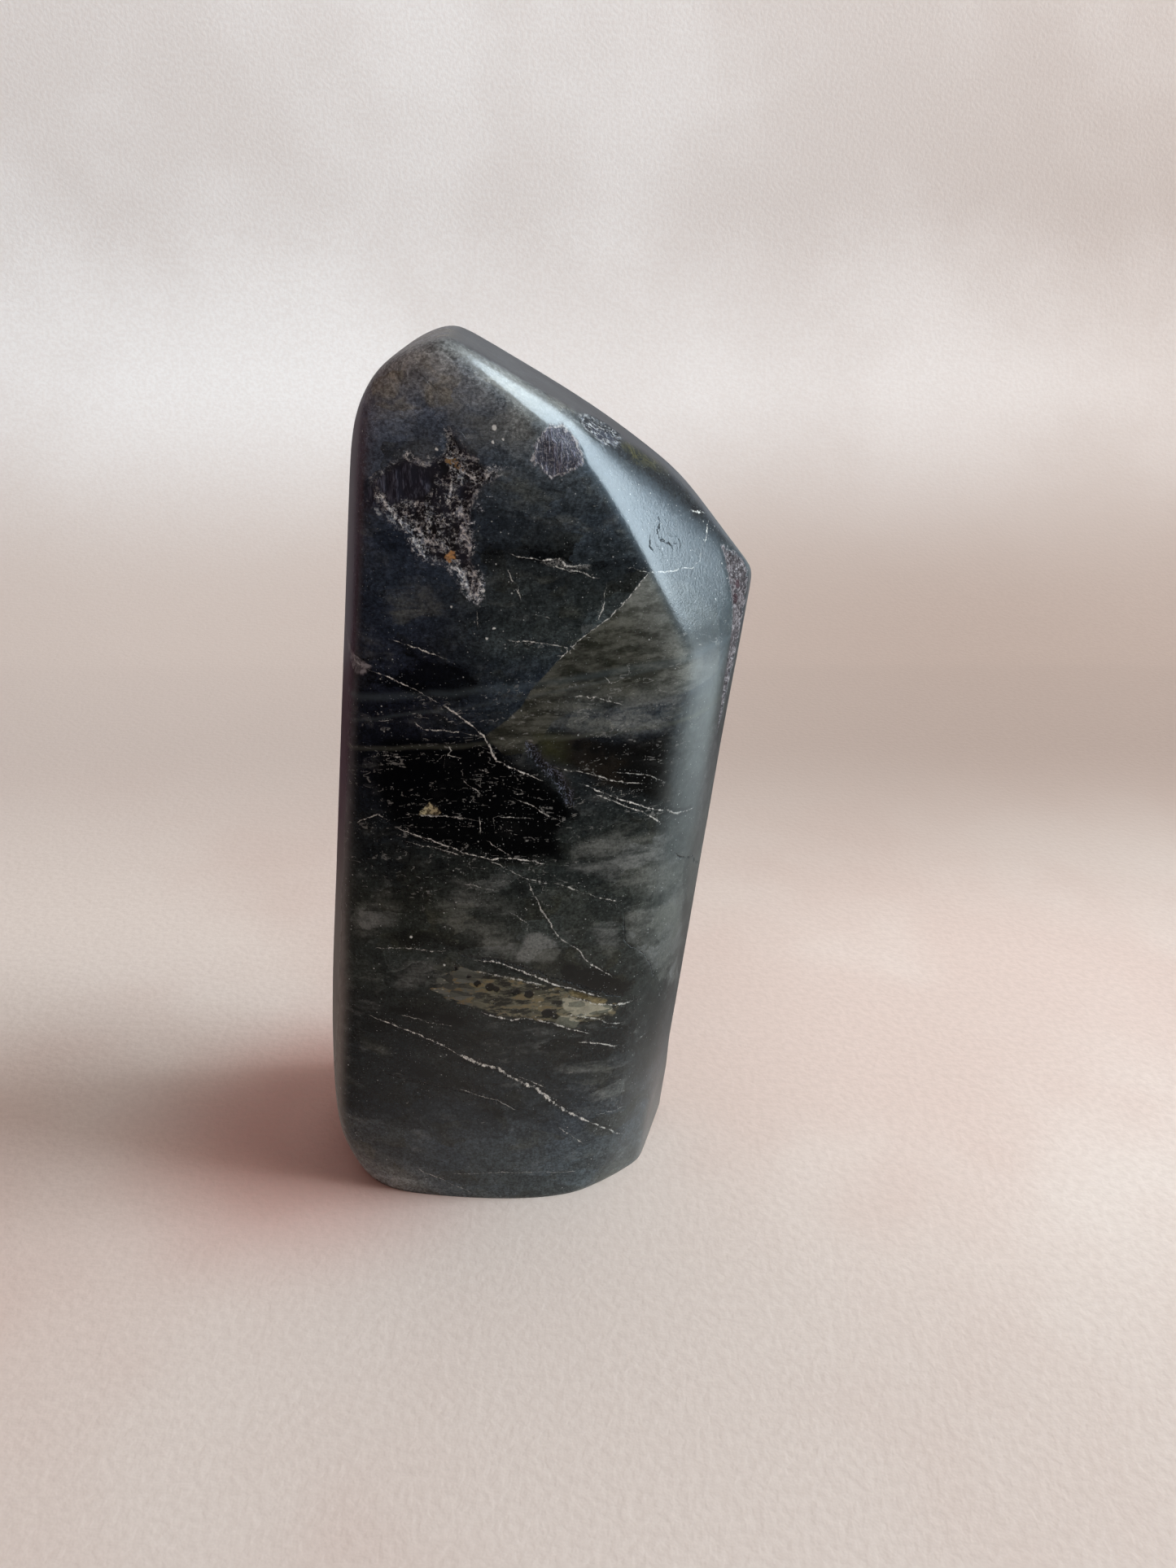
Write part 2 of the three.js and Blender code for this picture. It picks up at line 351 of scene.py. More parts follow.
FINER = [
    (0.11, DEEP, [(11.1, 63.3), (14.9, 62.4), (17, 61)]),
    (0.2, SHALLOW, [(-6.1, 37.3), (-3.5, 36.8), (-1.3, 36.2), (0.7, 35.6), (2.5, 35.1)]),
    (0.09, DEEP, [(-3.7, 53), (-1.8, 51.9), (0.6, 50.3), (3.7, 49.3)]),
    (0.17, DEEP, [(5.5, 30.1), (9.3, 28.9), (11, 27.8), (13, 27.4)]),
    (0.1, SHALLOW, [(10.2, 85.7), (9.7, 82.7), (9.1, 81.3)]),
    (0.08, SHALLOW, [(1.8, 82.7), (4.2, 82.1)]),
    (0.1, SHALLOW, [(-0.5, 87.7), (0, 86.3), (0.8, 85.8), (0.6, 85.2), (0.9, 84)]),
    (0.08, SHALLOW, [(9.7, 75.2), (10.6, 74.1), (11.9, 74.5)]),
    (0.1, SHALLOW, [(14.5, 23.4), (16.6, 22.9)]),
    (0.07, SHALLOW, [(8.9, 13.4), (13.6, 12.5)]),
    (0.07, SHALLOW, [(13.8, 6.7), (15.2, 6.3)]),
    (0.07, SHALLOW, [(16.6, 7.2), (18, 6)]),
    (0.08, SHALLOW, [(-15.3, 65.8), (-13.8, 65.7), (-11.9, 65.8)]),
    (0.09, SHALLOW, [(-15.6, 69.7), (-13.4, 70.2)]),
    (0.09, SHALLOW, [(-8.2, 67.8), (-7.1, 66.8), (-7.9, 66.2), (-6.1, 66)]),
    (0.08, SHALLOW, [(-10.3, 68.9), (-10.5, 67.9)]),
    (0.09, SHALLOW, [(-4.5, 64.7), (-2.9, 64.2)]),
    (0.09, SHALLOW, [(-6.2, 63.2), (-4.1, 61.4)]),
    (0.08, SHALLOW, [(-4.6, 58.6), (-4.4, 56.1)]),
    (0.08, SHALLOW, [(-2.5, 58.6), (1.8, 58.1)]),
    (0.08, SHALLOW, [(-0.6, 62.2), (1.1, 61.5)]),
    (0.08, SHALLOW, [(-6.9, 49.7), (-2.3, 48.6)]),
    (0.09, SHALLOW, [(-1.6, 45.9), (-0.5, 45.1), (0.7, 44), (0.7, 42.8)]),
    (0.07, SHALLOW, [(-8.9, 18.9), (-6.4, 18.1), (-3.8, 17.2), (-1.3, 15.4)]),
    (0.06, SHALLOW, [(-10.7, 4.3), (-3.3, 4.9), (0.7, 4.8), (6.7, 4)]),
    (0.07, SHALLOW, [(12.1, 86.9), (18.4, 84.9), (20.6, 84.2), (21.6, 84.5), (21.9, 85.6), (22.3, 88)]),
]
DARK = [
    (0.16, DEEP, [(18.8, 50.3), (22.4, 46), (24.6, 40.8)]),
    (0.14, DEEP, [(12.5, 44.3), (12.8, 39.8), (15.5, 37), (17.7, 30.6)]),
    (0.4, DEEP, [(-8.5, 39.9), (-5.8, 39.3), (-2.3, 38.8), (1.5, 37.2), (4.5, 35.7), (8.8, 33.6),
                 (12.5, 31.6)]),
    (0.12, DEEP, [(-19.5, 21), (-16.5, 20), (-12.9, 19.3), (-7.9, 18.4), (-2.9, 16.8), (3.2, 13.9)]),
    (0.14, DEEP, [(6.3, 28.2), (9.9, 27.6), (13.2, 26.4)]),
    (0.24, SHALLOW, [(16.2, 90.7), (16.6, 90), (16.1, 89.3), (16.5, 88.3), (17.7, 87.6), (18.1, 86.8)]),
    (0.15, SHALLOW, [(15.2, 89.6), (15, 88.4), (15.6, 87.4)]),
    (0.17, SHALLOW, [(18.3, 88.4), (19, 87.2), (18.8, 86)]),
    (0.07, SHALLOW, [(-5.6, 102.1), (-4.2, 101), (-2.6, 99.7)]),
    (0.1, SHALLOW, [(-8.8, 107), (-7.4, 105.8), (-5.4, 104.4)]),
]
# The pale ridges of the shoulder's crust, with how far their specks spread.
RIDGES = [
    (0.7, SHALLOW, [(-13.5, 95.3), (-12.9, 94.3), (-12, 93.1), (-10.8, 91.8), (-9.5, 91.2), (-8.3, 90.2),
                    (-7.3, 89.5), (-6.3, 89.2)]),
    (0.6, SHALLOW, [(-10.5, 91.3), (-10.1, 90.7), (-9.6, 89.5), (-9, 88.7), (-8.4, 88.3)]),
    (0.8, SHALLOW, [(-5, 94.5), (-5.1, 93.2), (-4.7, 92.3), (-4.6, 90.9), (-4.4, 89.9), (-4.2, 88.9)]),
    (0.7, SHALLOW, [(-6.7, 87.8), (-5.7, 87.5), (-4.9, 86.5), (-4.3, 85.1), (-3.7, 83.9)]),
    (0.6, SHALLOW, [(-4.4, 87.9), (-3.7, 87), (-3.3, 86.2), (-3.5, 85.5), (-3.7, 83.9)]),
    (0.35, SHALLOW, [(-11.6, 94.3), (-10.3, 94.1), (-9.4, 93.7), (-8.4, 94), (-7.1, 93.6)]),
    (0.4, SHALLOW, [(-9.1, 93.3), (-8.4, 92.5), (-7.8, 92.2), (-6.8, 92.6), (-5.7, 92.3)]),
    (0.35, SHALLOW, [(-7.2, 91.6), (-6.9, 90.1), (-7.1, 89.2)]),
    (0.35, SHALLOW, [(-5.7, 91.4), (-5.6, 90.1)]),
    (0.45, SHALLOW, [(-6.3, 101.7), (-5.8, 101.1), (-5.4, 100.7)]),
    (0.5, SHALLOW, [(-5.9, 100), (-5.1, 99.2), (-4.2, 98.5), (-3.6, 98.2)]),
    (0.6, SHALLOW, [(-6.1, 98.7), (-5.2, 97.8), (-4.3, 97.3), (-3.3, 96.6), (-2.7, 96.2)]),
    (0.7, SHALLOW, [(-2.5, 96.3), (-2.2, 96.9), (-1.5, 97.4), (-0.7, 97.6)]),
    (0.6, SHALLOW, [(-5.9, 97), (-5.8, 95.7), (-6.2, 94.2)]),
    (0.35, SHALLOW, [(-10.8, 98.8), (-10, 98.9), (-9.4, 98.2), (-8.1, 98.4), (-7.1, 98.7)]),
    (0.25, SHALLOW, [(-3.4, 94.4), (-2.9, 93.9), (-3.1, 93.2)]),
]
line_layers("bold", BOLD)
line_layers("fine", FINE, fade=1.6)
line_layers("finer", FINER, fade=1.2)
line_layers("dark", DARK)
line_layers("ridges", RIDGES, fade=0.8)

# %% [markdown]
# ## The beds and the crusts
#
# The dark rock holds a black bed, an olive bed that turns brown below, pale clouds and a golden lens.
# The crusts are places where the rock broke out before it was ground, so the wheel didn't reach them.
# Outlines are enough for all of these: the material roughens their edges later.

# %% Outlines on the front
OLIVE = [(15, 86.2), (20, 83), (24, 78), (24, 72), (17, 71.5), (12, 71), (7, 71.5), (4, 70),
         (3.1, 68.5), (1.9, 67.2), (0.5, 66.4), (-1.4, 66.2), (-3.5, 68.7), (-1.2, 70.4), (0.6, 72.1),
         (2, 74.4), (4.3, 76.8), (6.1, 78.5), (8.2, 80.3), (10.4, 81.5), (12.5, 83.5), (13.9, 85.3)]
BROWN = [(2, 68.8), (6, 68.8), (11.6, 67.2), (17.8, 67.4), (18.6, 57.3), (14.6, 59), (9.7, 61.8), (6, 63.8),
         (2.7, 66.1)]
BLACK = [(-14.8, 68.1), (-6.7, 68.4), (-3.5, 68.3), (0.4, 64.7), (5, 61.3), (6.5, 58.5), (4.6, 55.5),
         (4.9, 52.2), (2, 52.8), (-1.8, 52.6), (-7.4, 54), (-13, 55.4), (-15.6, 58.3), (-16.6, 62.6)]
LENS = [(-11.4, 34.7), (-9.5, 36.8), (-8, 37.8), (-6.1, 37.3), (-1.3, 36.5), (1.3, 35.7), (4.3, 34.4),
        (7.2, 33.1), (10.3, 31.3), (12.1, 30.3), (11.2, 29), (5.7, 28.1), (3.6, 29.3), (-0.5, 30.4),
        (-4.5, 31.2), (-6.9, 32.1), (-9.3, 33)]
CRYSTALS = [
    [(4.7, 33.1), (9.1, 31.5), (9, 29.5), (7, 29.6), (4.9, 31.1)],
    [(9.2, 31.4), (11.2, 30.6), (11.4, 29.7), (9.2, 29.7)],
    [(4.3, 30.2), (5.7, 30.1), (7, 28.9), (6.3, 27.9), (4.6, 28.4), (3.8, 29)],
]
GOLD_STRIP = [(5.3, 34.3), (10.7, 31.7), (10.3, 31), (5.7, 33)]
# The black pits of the lens: across, up, and radius.
LENS_PITS = [(-8.2, 37.6, 0.3), (-6.7, 36.5, 0.3), (-5.7, 35.5, 0.5), (-4.2, 35, 0.6), (-3.4, 34.7, 0.4),
             (-1, 34.2, 0.5), (0.6, 33.8, 0.6), (2.8, 30.7, 0.7), (3.8, 30.2, 0.4)]
# Soft patches: how much paler (or darker, below 0) they are than the rock, how soft, and their outlines.
PATCHES = [
    (0.9, 1.2, [(5.9, 53.5), (11.7, 56.3), (17.5, 54.4), (18.2, 44.6), (14.9, 46.6), (9.8, 49.3),
                (5.9, 51)]),
    (0.7, 1.2, [(17.4, 50.1), (20.8, 49.8), (22, 38), (22.5, 29), (19.3, 38), (18.4, 44)]),
    (0.6, 0.9, [(-2.8, 56.7), (-1.8, 58), (-0.3, 57.7), (0, 56.2), (-1, 55.2), (-2.3, 55.4)]),
    (0.4, 1.4, [(-7.7, 50.5), (-1.9, 50.1), (0.4, 45.8), (-4.1, 41.3), (-8, 42.3), (-9.8, 45.7)]),
    (1.2, 0.4, [(-0.6, 39.4), (0.6, 42.6), (2.2, 42.7), (3.8, 41.4), (4.8, 39.9), (3.8, 38.3), (0.5, 38.4),
                (-1, 38.7)]),
    (0.8, 1.2, [(-5.5, 41), (-1.5, 42.5), (-0.5, 39.5), (-4, 39.6)]),
    (1.1, 0.8, [(12.9, 44.5), (20.6, 42), (22.3, 23), (17.9, 31), (15.7, 36.8), (13.1, 39.6)]),
    (0.8, 0.8, [(8.6, 43.1), (11.9, 43.1), (12.2, 39.6), (10.7, 37.8), (9, 40.8)]),
    (0.7, 1.2, [(-20.7, 43.9), (-15.3, 49.7), (-13.6, 46.5), (-15.9, 41.7), (-20.1, 39.3)]),
    (0.6, 1.2, [(-16, 34.8), (-14.1, 38.3), (-11.1, 39.3), (-8.8, 38), (-11.3, 36.2), (-14.5, 33.2)]),
    (0.8, 1.4, [(2.5, 74.8), (9.7, 75), (18.1, 74.2), (19.9, 68.7), (15.4, 67.7), (7.8, 68.1), (3.3, 69.5)]),
    (0.35, 0.8, [(-8.1, 65.8), (-7.2, 65.6), (-7.7, 63.6), (-8.5, 61.3), (-10, 60.1), (-9.4, 63)]),
    (0.35, 0.7, [(-11.8, 58.3), (-9.1, 58.3), (-10.1, 57.2), (-12.1, 56.8)]),
    (0.5, 1.5, [(-6.3, 105.8), (-1.6, 103.9), (1.4, 100.1), (-1.8, 99.6), (-5.7, 102.7)]),
    (0.35, 1.8, [(1.3, 96), (5.4, 93.6), (6, 90.5), (0, 91), (-2.1, 93.2)]),
    (0.3, 1.5, [(-13.5, 88), (-8, 86), (-7, 82.5), (-12, 81.5), (-15, 84)]),
    (0.35, 1.0, [(-2.5, 85), (1, 84.2), (1.5, 82), (-2.8, 81.8)]),
    (0.5, 1.5, [(2, 26), (8, 24), (13, 20), (15, 14), (10, 15), (4, 21)]),
    (-1.0, 1.2, [(4.5, 38.5), (9.9, 36.5), (14, 33.4), (13.5, 31.4), (9, 33.2), (4.8, 35.2)]),
    (-0.9, 1.2, [(-15.6, 74.4), (-10, 76.6), (-4.7, 76.3), (-3.7, 74), (-6.5, 72.6), (-11.7, 73.8)]),
    (-0.6, 1.2, [(-13, 78.6), (-7, 77), (-4, 75), (-9, 76)]),
    (-0.7, 1.5, [(-12, 43), (-7.6, 41.8), (-5.5, 40.2), (-9, 40), (-17, 41), (-17, 43)]),
    (-0.5, 1.5, [(-3.5, 91), (4, 90), (9, 90), (10, 87.5), (3, 87), (-3, 88.5)]),
    (-0.8, 1.2, [(-18, 32), (-14, 31), (-6, 30.6), (-8, 29.4), (-17, 30)]),
    (-0.5, 1.5, [(-16, 24), (-8, 21), (0, 17), (4, 13), (-4, 14), (-12, 18)]),
]
SHOULDER_CRUST = [(-14.6, 95.5), (-12.5, 97.7), (-10.2, 98.8), (-8.4, 98.2), (-6.8, 99), (-6.2, 100.2),
                  (-6.3, 101.8), (-5.6, 101.9), (-4.9, 100.6), (-2.9, 98.6), (-2, 97.4), (-1, 97.9),
                  (-1.5, 96.5), (-2.7, 96), (-3.9, 94), (-4.2, 92.2), (-4, 88.4), (-3.4, 86.5), (-3.7, 83.9),
                  (-4.6, 85.1), (-5.3, 87.1), (-6.7, 88), (-8.2, 88.2), (-9.6, 89.2), (-10.5, 91.2),
                  (-12.9, 92.6), (-14.8, 93.7)]
STRIATED_PART = [(-14.8, 95.2), (-10.1, 98.2), (-7.9, 97.4), (-7.8, 95.2), (-10.3, 94.3), (-12.8, 93.6),
                 (-14.4, 93.4)]
CROWN_CRUST = [(2, 98.5), (2.6, 99), (2.7, 99.9), (3.2, 101), (4.3, 101.8), (5.7, 101.5), (6.8, 100.5),
               (7.7, 99.1), (7.8, 97.8), (6.7, 97.3), (5.4, 96.9), (4.2, 96.5), (3.3, 97.7)]
FLAKES = [(0.5, 68.6), (1.8, 67.7), (3, 65.7), (5, 63.9), (6.5, 61.4), (6.3, 59.4), (5.4, 59.7), (4.6, 62),
          (2.6, 64.3), (1.2, 66)]
WEDGE = [(-18.5, 77.4), (-16.8, 77), (-15.7, 76.5), (-15.2, 76.2), (-16.2, 75.2), (-17.4, 74.9)]
CHIP = [(-10.1, 60.2), (-8.8, 59), (-9, 58.6), (-11.6, 58.5)]
SLIVERS = [(3.1, 88.2), (5.3, 88.5), (6.1, 87.6), (8.6, 87.5), (8.1, 87.1), (4.9, 87.6)]
print(len(PATCHES), "soft patches,", len(LENS_PITS), "pits in the lens")

# %% Outlines on the slope, the right edge and the back
SLOPE_CRUST = [(7, -8.5), (8, -5.5), (9.5, -3), (11.5, -4.6), (11.2, -7.8), (9.6, -9.6), (8.2, -10),
               (7.4, -10)]
SLOPE_GOLD = [(11.4, -7.4), (12.6, -4.5), (15, -2), (17, -0.8), (16.6, -3.6), (14.4, -6), (12.8, -7.6)]
EDGE_CRUST = [(-2.2, 87), (0.6, 85), (1.2, 80), (1.6, 75), (-0.4, 70), (-1.8, 66), (-2.6, 63), (-3, 67),
              (-3.8, 72), (-3.9, 77), (-3.4, 81)]
BACK_CRUST = [(-0.5, 73), (2.2, 74.2), (4, 78), (6.4, 76), (9, 77), (12.4, 71), (10, 69), (9.2, 64.4),
              (6.6, 66), (4.4, 61.6), (2.4, 66.4)]
x, y, z = polished.T
NOWHERE = -20.0


def mark(name, outline, where=on_front, plane=(mark_x, mark_z)):
    """Stores a signed distance to an outline, kept to one part of the stone."""
    distance = np.where(where, inside_distance(outline, *plane), NOWHERE)
    layers[name] = np.maximum(layers.get(name, NOWHERE), distance)


everywhere = np.ones(len(x), bool)
mark("olive", OLIVE, everywhere)
mark("brown", BROWN, everywhere)
mark("black", BLACK, everywhere)
for name, outline in {
    "lens": LENS, "gold": GOLD_STRIP, "crust": SHOULDER_CRUST, "scratched": STRIATED_PART,
    "striated": CROWN_CRUST, "flakes": FLAKES, "wedge": WEDGE, "chip": CHIP, "slivers": SLIVERS,
}.items():
    mark(name, outline)
for outline in CRYSTALS:
    mark("crystals", outline)
mark("crust", SLOPE_CRUST, z > 88, (x, y))
mark("crust", EDGE_CRUST, x > 18, (y, z))
mark("crust", BACK_CRUST, y > 8, (x, z))
mark("slope gold", SLOPE_GOLD, z > 84, (x, y))
layers["pits"] = np.max([
    np.where(on_front, radius - np.hypot(mark_x - along, mark_z - up), NOWHERE)
    for along, up, radius in LENS_PITS
], axis=0)
layers["patches"] = sum(
    strength * smooth_rise(inside_distance(outline, mark_x, mark_z), -softness, softness)
    for strength, softness, outline in PATCHES
)
print(len(layers), "layers of marks")

# %% Satin facets, and facets that face the window
# The wheel's last grit left the bevels and the right side duller than the front.
SATIN = {
    "front right bevel": 1.0, "right side": 0.8, "back right bevel": 0.6, "back left bevel": 0.5,
    "left side": 0.8, "front left bevel": 0.8, "upper slope": 0.9, "middle slope": 0.9, "lower slope": 0.9,
    "upper crown bevel": 0.15, "middle crown bevel": 0.12, "lower crown bevel": 0.15,
    "lowest crown bevel": 0.3, "upper slope bevel": 0.2, "lower slope bevel": 0.2, "back crown bevel": 0.6,
    "left shoulder": 0.6, "peak": 0.4, "left foot corner": 0.8, "left foot side": 0.8,
    "right foot corner": 0.8,
}
FACET_GROUPS = {
    "sunlit": ["front right bevel", "right side", "back right bevel", "upper slope", "middle slope",
               "lower slope"],
    "crown": ["upper crown bevel", "middle crown bevel", "lower crown bevel", "lowest crown bevel"],
    "left": ["left side", "lower left side", "left foot side", "front left bevel"],
    "shady": ["upper slope bevel", "lower slope bevel"],
    "right": ["right side"],
}
layers["satin"] = shares @ np.array([SATIN.get(name, 0.0) for name in FACETS] + [1.0])
for name, group in FACET_GROUPS.items():
    layers[name] = shares @ np.array([float(facet in group) for facet in FACETS] + [0.0])
print("satin over the stone:", layers["satin"].mean().round(2))

# %% [markdown]
# ## Relief
#
# A hand-polished face is never quite flat: it swells by a few hundredths of a millimetre, which bends the
# window's reflection. The crusts lie lower and are grainy, and the widest crack is a shallow groove. The
# material's bump could fake all of it, but real relief also shows on the outline and in the mesh itself.

# %% Sinking the crusts and the widest crack
SWELL_LENGTH, SWELL = 13, 0.035
RIPPLE_LENGTH, RIPPLE = 4.5, 0.012
CRUST_DEPTH, GRAIN_LENGTH, GRAIN = 0.38, 0.9, 0.3
GROOVE_DEPTH = 0.12


def noise_at(points, length):
    """Blender's own smooth noise, from -1 to 1, with bumps of about this length."""
    return np.array([noise.noise(Vector(point)) for point in (points / length).tolist()])


sunk = np.zeros(len(x))
sunk += SWELL * noise_at(polished, SWELL_LENGTH) + RIPPLE * noise_at(polished, RIPPLE_LENGTH)
for name, depth in {"crust": 1.0, "striated": 0.7, "flakes": 0.8, "wedge": 0.3, "chip": 0.8}.items():
    inside = smooth_rise(layers[name], -0.1, 0.7) * depth
    rough = np.flatnonzero(inside)
    sunk[rough] -= inside[rough] * CRUST_DEPTH
    sunk[rough] += inside[rough] * GRAIN * noise_at(polished[rough], GRAIN_LENGTH)
groove = 1 - smooth_rise(abs(layers["bold side"]), 0.0, 0.55)
sunk -= GROOVE_DEPTH * groove * smooth_rise(layers["bold width"], 0.1, 0.3)
sunk[on_foot] = 0
surface = polished + outward * sunk[:, None]
surface[:, 2] = surface[:, 2].clip(0)
print("deepest point of the relief:", sunk.min().round(2), "mm")

# %% The stone's mesh
mesh = bpy.data.meshes.new("stone_surface")
mesh.from_pydata((surface * MM).tolist(), [], squares.tolist())
mesh.polygons.foreach_set("use_smooth", np.ones(len(squares), bool))
texture_map = mesh.uv_layers.new(name="OFBake")
texture_map.uv.foreach_set("vector", map_places.astype(np.float32).ravel())
for name, values in layers.items():
    mesh.attributes.new(name, "FLOAT", "POINT").data.foreach_set("value", values.astype(np.float32))
mesh.update()
stone = bpy.data.objects.new("polished_labradorite", mesh)
bpy.context.scene.collection.objects.link(stone)
print("stone:", len(mesh.vertices), "vertices,", 2 * len(mesh.polygons), "triangles")

# %% [markdown]
# ## Writing a material as sums
#
# A node graph for rock is mostly arithmetic on masks. One small class wraps a socket, so that a sum in
# Python adds the Math nodes, and every other node comes from its one method.

# %% One socket as a value


class Wire:
    """One socket of a material. Sums on it add Math nodes to the same material."""

    def __init__(self, tree, socket=None):
        self.tree, self.socket = tree, socket

    def node(self, kind, settings, sockets, output=0):
        """Adds a node: first its settings, then the values or links of its sockets."""
        made = self.tree.nodes.new(kind)
        for name, value in settings.items():
            if name == "stops":
                ramp = made.color_ramp.elements
                while len(ramp) < len(value):
                    ramp.new(1)
                for stop, (place, colour) in zip(ramp, value):
                    stop.position, stop.color = place, colour
            else:
                setattr(made, name, value)
        for name, value in sockets.items():
            if isinstance(value, Wire):
                self.tree.links.new(value.socket, made.inputs[name])
            else:
                made.inputs[name].default_value = value
        return Wire(self.tree, made.outputs[output])

    def feed(self, shader, name):
        """Links this value to a socket of a shader that is there already."""
        self.tree.links.new(self.socket, shader.inputs[name])

    def math(self, operation, *values):
        return self.node("ShaderNodeMath", {"operation": operation}, dict(enumerate(values)))

    def __add__(self, other):
        return self.math("ADD", self, other)

    def __sub__(self, other):
        return self.math("SUBTRACT", self, other)

    def __rsub__(self, other):
        return self.math("SUBTRACT", other, self)

    def __mul__(self, other):
        return self.math("MULTIPLY", self, other)

    def __truediv__(self, other):
        return self.math("DIVIDE", self, other)

    def __abs__(self):
        return self.math("ABSOLUTE", self)

    def at_least(self, other):
        return self.math("MAXIMUM", self, other)

    __radd__ = __add__
    __rmul__ = __mul__


def new_material(name):
    """A material with a Principled shader, its tree as a Wire, and the shader node."""
    material = bpy.data.materials.new(name)
    material.use_nodes = True
    return material, Wire(material.node_tree), material.node_tree.nodes["Principled BSDF"]


# %% Helpers for patterns


def rise(value, low, high):
    """0 below low, 1 above high and an S-curve between. With low above high it falls instead."""
    settings = {"interpolation_type": "SMOOTHSTEP"}
    if low > high:
        return 1 - rise(value, high, low)
    return value.node("ShaderNodeMapRange", settings, {"Value": value, "From Min": low, "From Max": high})


def blend(mask, without, within):
    """One colour where the mask is 0, the other where it is 1."""
    return mask.node("ShaderNodeMix", {"data_type": "RGBA"}, {0: mask, 6: without, 7: within}, 2)


def between(pattern, low, high, dark, light):
    """The dark tone where the pattern is below low, the light one where it is above high."""
    return blend(rise(pattern, low, high), dark, light)


def clouds(at, per_mm, detail=3.0, rough=0.55):
    """Noise from 0 to 1 around 0.5."""
    sockets = {"Vector": at, "Scale": per_mm, "Detail": detail, "Roughness": rough}
    return at.node("ShaderNodeTexNoise", {}, sockets)


def cells(at, per_mm):
    """Cells of random shape: how far each place is from the middle of its cell."""
    return at.node("ShaderNodeTexVoronoi", {}, {"Vector": at, "Scale": per_mm}, "Distance")


def luck(cell, axis):
    """A random number from 0 to 1 for each of those cells. The three axes give three numbers."""
    return part_of(Wire(cell.tree, cell.socket.node.outputs["Color"]), axis)


def net(at, per_mm, reach, core):
    """The walls between such cells: 1 nearer than core to a wall, 0 beyond reach."""
    settings = {"feature": "DISTANCE_TO_EDGE"}
    from_wall = at.node("ShaderNodeTexVoronoi", settings, {"Vector": at, "Scale": per_mm}, "Distance")
    return rise(from_wall, reach, core)


def turned(at, degrees, stretch):
    """The same places, turned about Y and squeezed, so that round spots come out long and slanted."""
    sockets = {"Vector": at, "Rotation": (0, radians(degrees), 0), "Scale": stretch}
    return at.node("ShaderNodeMapping", {}, sockets)


def shaken(at, per_mm, reach):
    """The same places, each moved by up to about this reach."""
    push = at.node("ShaderNodeTexNoise", {}, {"Vector": at, "Scale": per_mm, "Detail": 2.0}, "Color")
    centred = at.node("ShaderNodeVectorMath", {"operation": "SUBTRACT"}, {0: push, 1: (0.5, 0.5, 0.5)})
    moved = at.node("ShaderNodeVectorMath", {"operation": "SCALE"}, {0: centred, "Scale": reach * 4})
    return at.node("ShaderNodeVectorMath", {"operation": "ADD"}, {0: at, 1: moved})


def layer(name):
    return rock.node("ShaderNodeAttribute", {"attribute_name": name}, {}, "Fac")


def part_of(vector, axis):
    return vector.node("ShaderNodeSeparateXYZ", {}, {0: vector}, axis)


def distance(at, centre):
    """How far each place is from one point."""
    return at.node("ShaderNodeVectorMath", {"operation": "DISTANCE"}, {0: at, 1: centre}, "Value")


def spot(at, centre, radius):
    """A dot round one place."""
    return rise(distance(at, centre), radius, radius * 0.55)


# %% [markdown]
# ## Tones
#
# Polished dark rock sends back only a few per cent of the light that falls on it, and what it sends back
# differs a little between red, green and blue. Tones are written that way here, in per cent, so that a
# black bed at 0.2 and a pale cloud at 15 can be compared at sight.

# %% Helpers for tones
STONE_HEIGHT = 110


def percent(red, green, blue):
    """A tone of the rock: how many per cent of red, green and blue light it sends back."""
    return [red / 100, green / 100, blue / 100, 1.0]


def by_height(at_height, tones):
    """A tone that changes from the foot up. tones: a height in mm, and the tone there."""
    stops = [(up / STONE_HEIGHT, percent(*tone)) for up, tone in tones.items()]
    return at_height.node("ShaderNodeValToRGB", {"stops": stops}, {0: at_height / STONE_HEIGHT})


def lit(tone, strength):
    """The same tone, lighter above 1 and darker below it."""
    return tone.node("ShaderNodeVectorMath", {"operation": "SCALE"}, {0: tone, "Scale": strength})


def wash(mask, tone, tint):
    """The same tone, times a tint where the mask is 1."""
    tinted = tone.node("ShaderNodeVectorMath", {"operation": "MULTIPLY"}, {0: tone, 1: tint})
    return blend(mask, tone, tinted)


# %% [markdown]
# ## The body of the rock
#
# Labradorite is a mass of feldspar crystals, each with its own shade of grey, green or blue. Under the
# polish the eye looks a little way in, so the tones are soft: zones from foot to peak, then patches of a
# few millimetres with straight-cut edges, then mottling down to a third of a millimetre.

# %% Places and noise that the layers share
stone_material, rock, stone_shader = new_material("polished_stone")
object_place = rock.node("ShaderNodeTexCoord", {}, {}, "Object")
place = rock.node("ShaderNodeVectorMath", {"operation": "SCALE"}, {0: object_place, "Scale": 1 / MM})
height = part_of(place, "Z")
across_stone = part_of(place, "X")
depth = part_of(place, "Y") - FRONT_Y
soft_place = shaken(place, 0.2, 2.0)

broad = clouds(place, 0.06, 3)
medium = clouds(soft_place, 0.22, 4)
small = clouds(soft_place, 0.9, 4, 0.6)
tiny = clouds(place, 3.0, 3, 0.6)
crystals = cells(shaken(turned(place, 18, (0.7, 1, 1.1)), 0.5, 0.6), 0.3)
crystal_tone = luck(crystals, "X")
crystal_tint = luck(crystals, "Y")
grains = luck(cells(shaken(place, 1.2, 0.3), 1.1), "X")
print("nodes so far:", len(stone_material.node_tree.nodes))

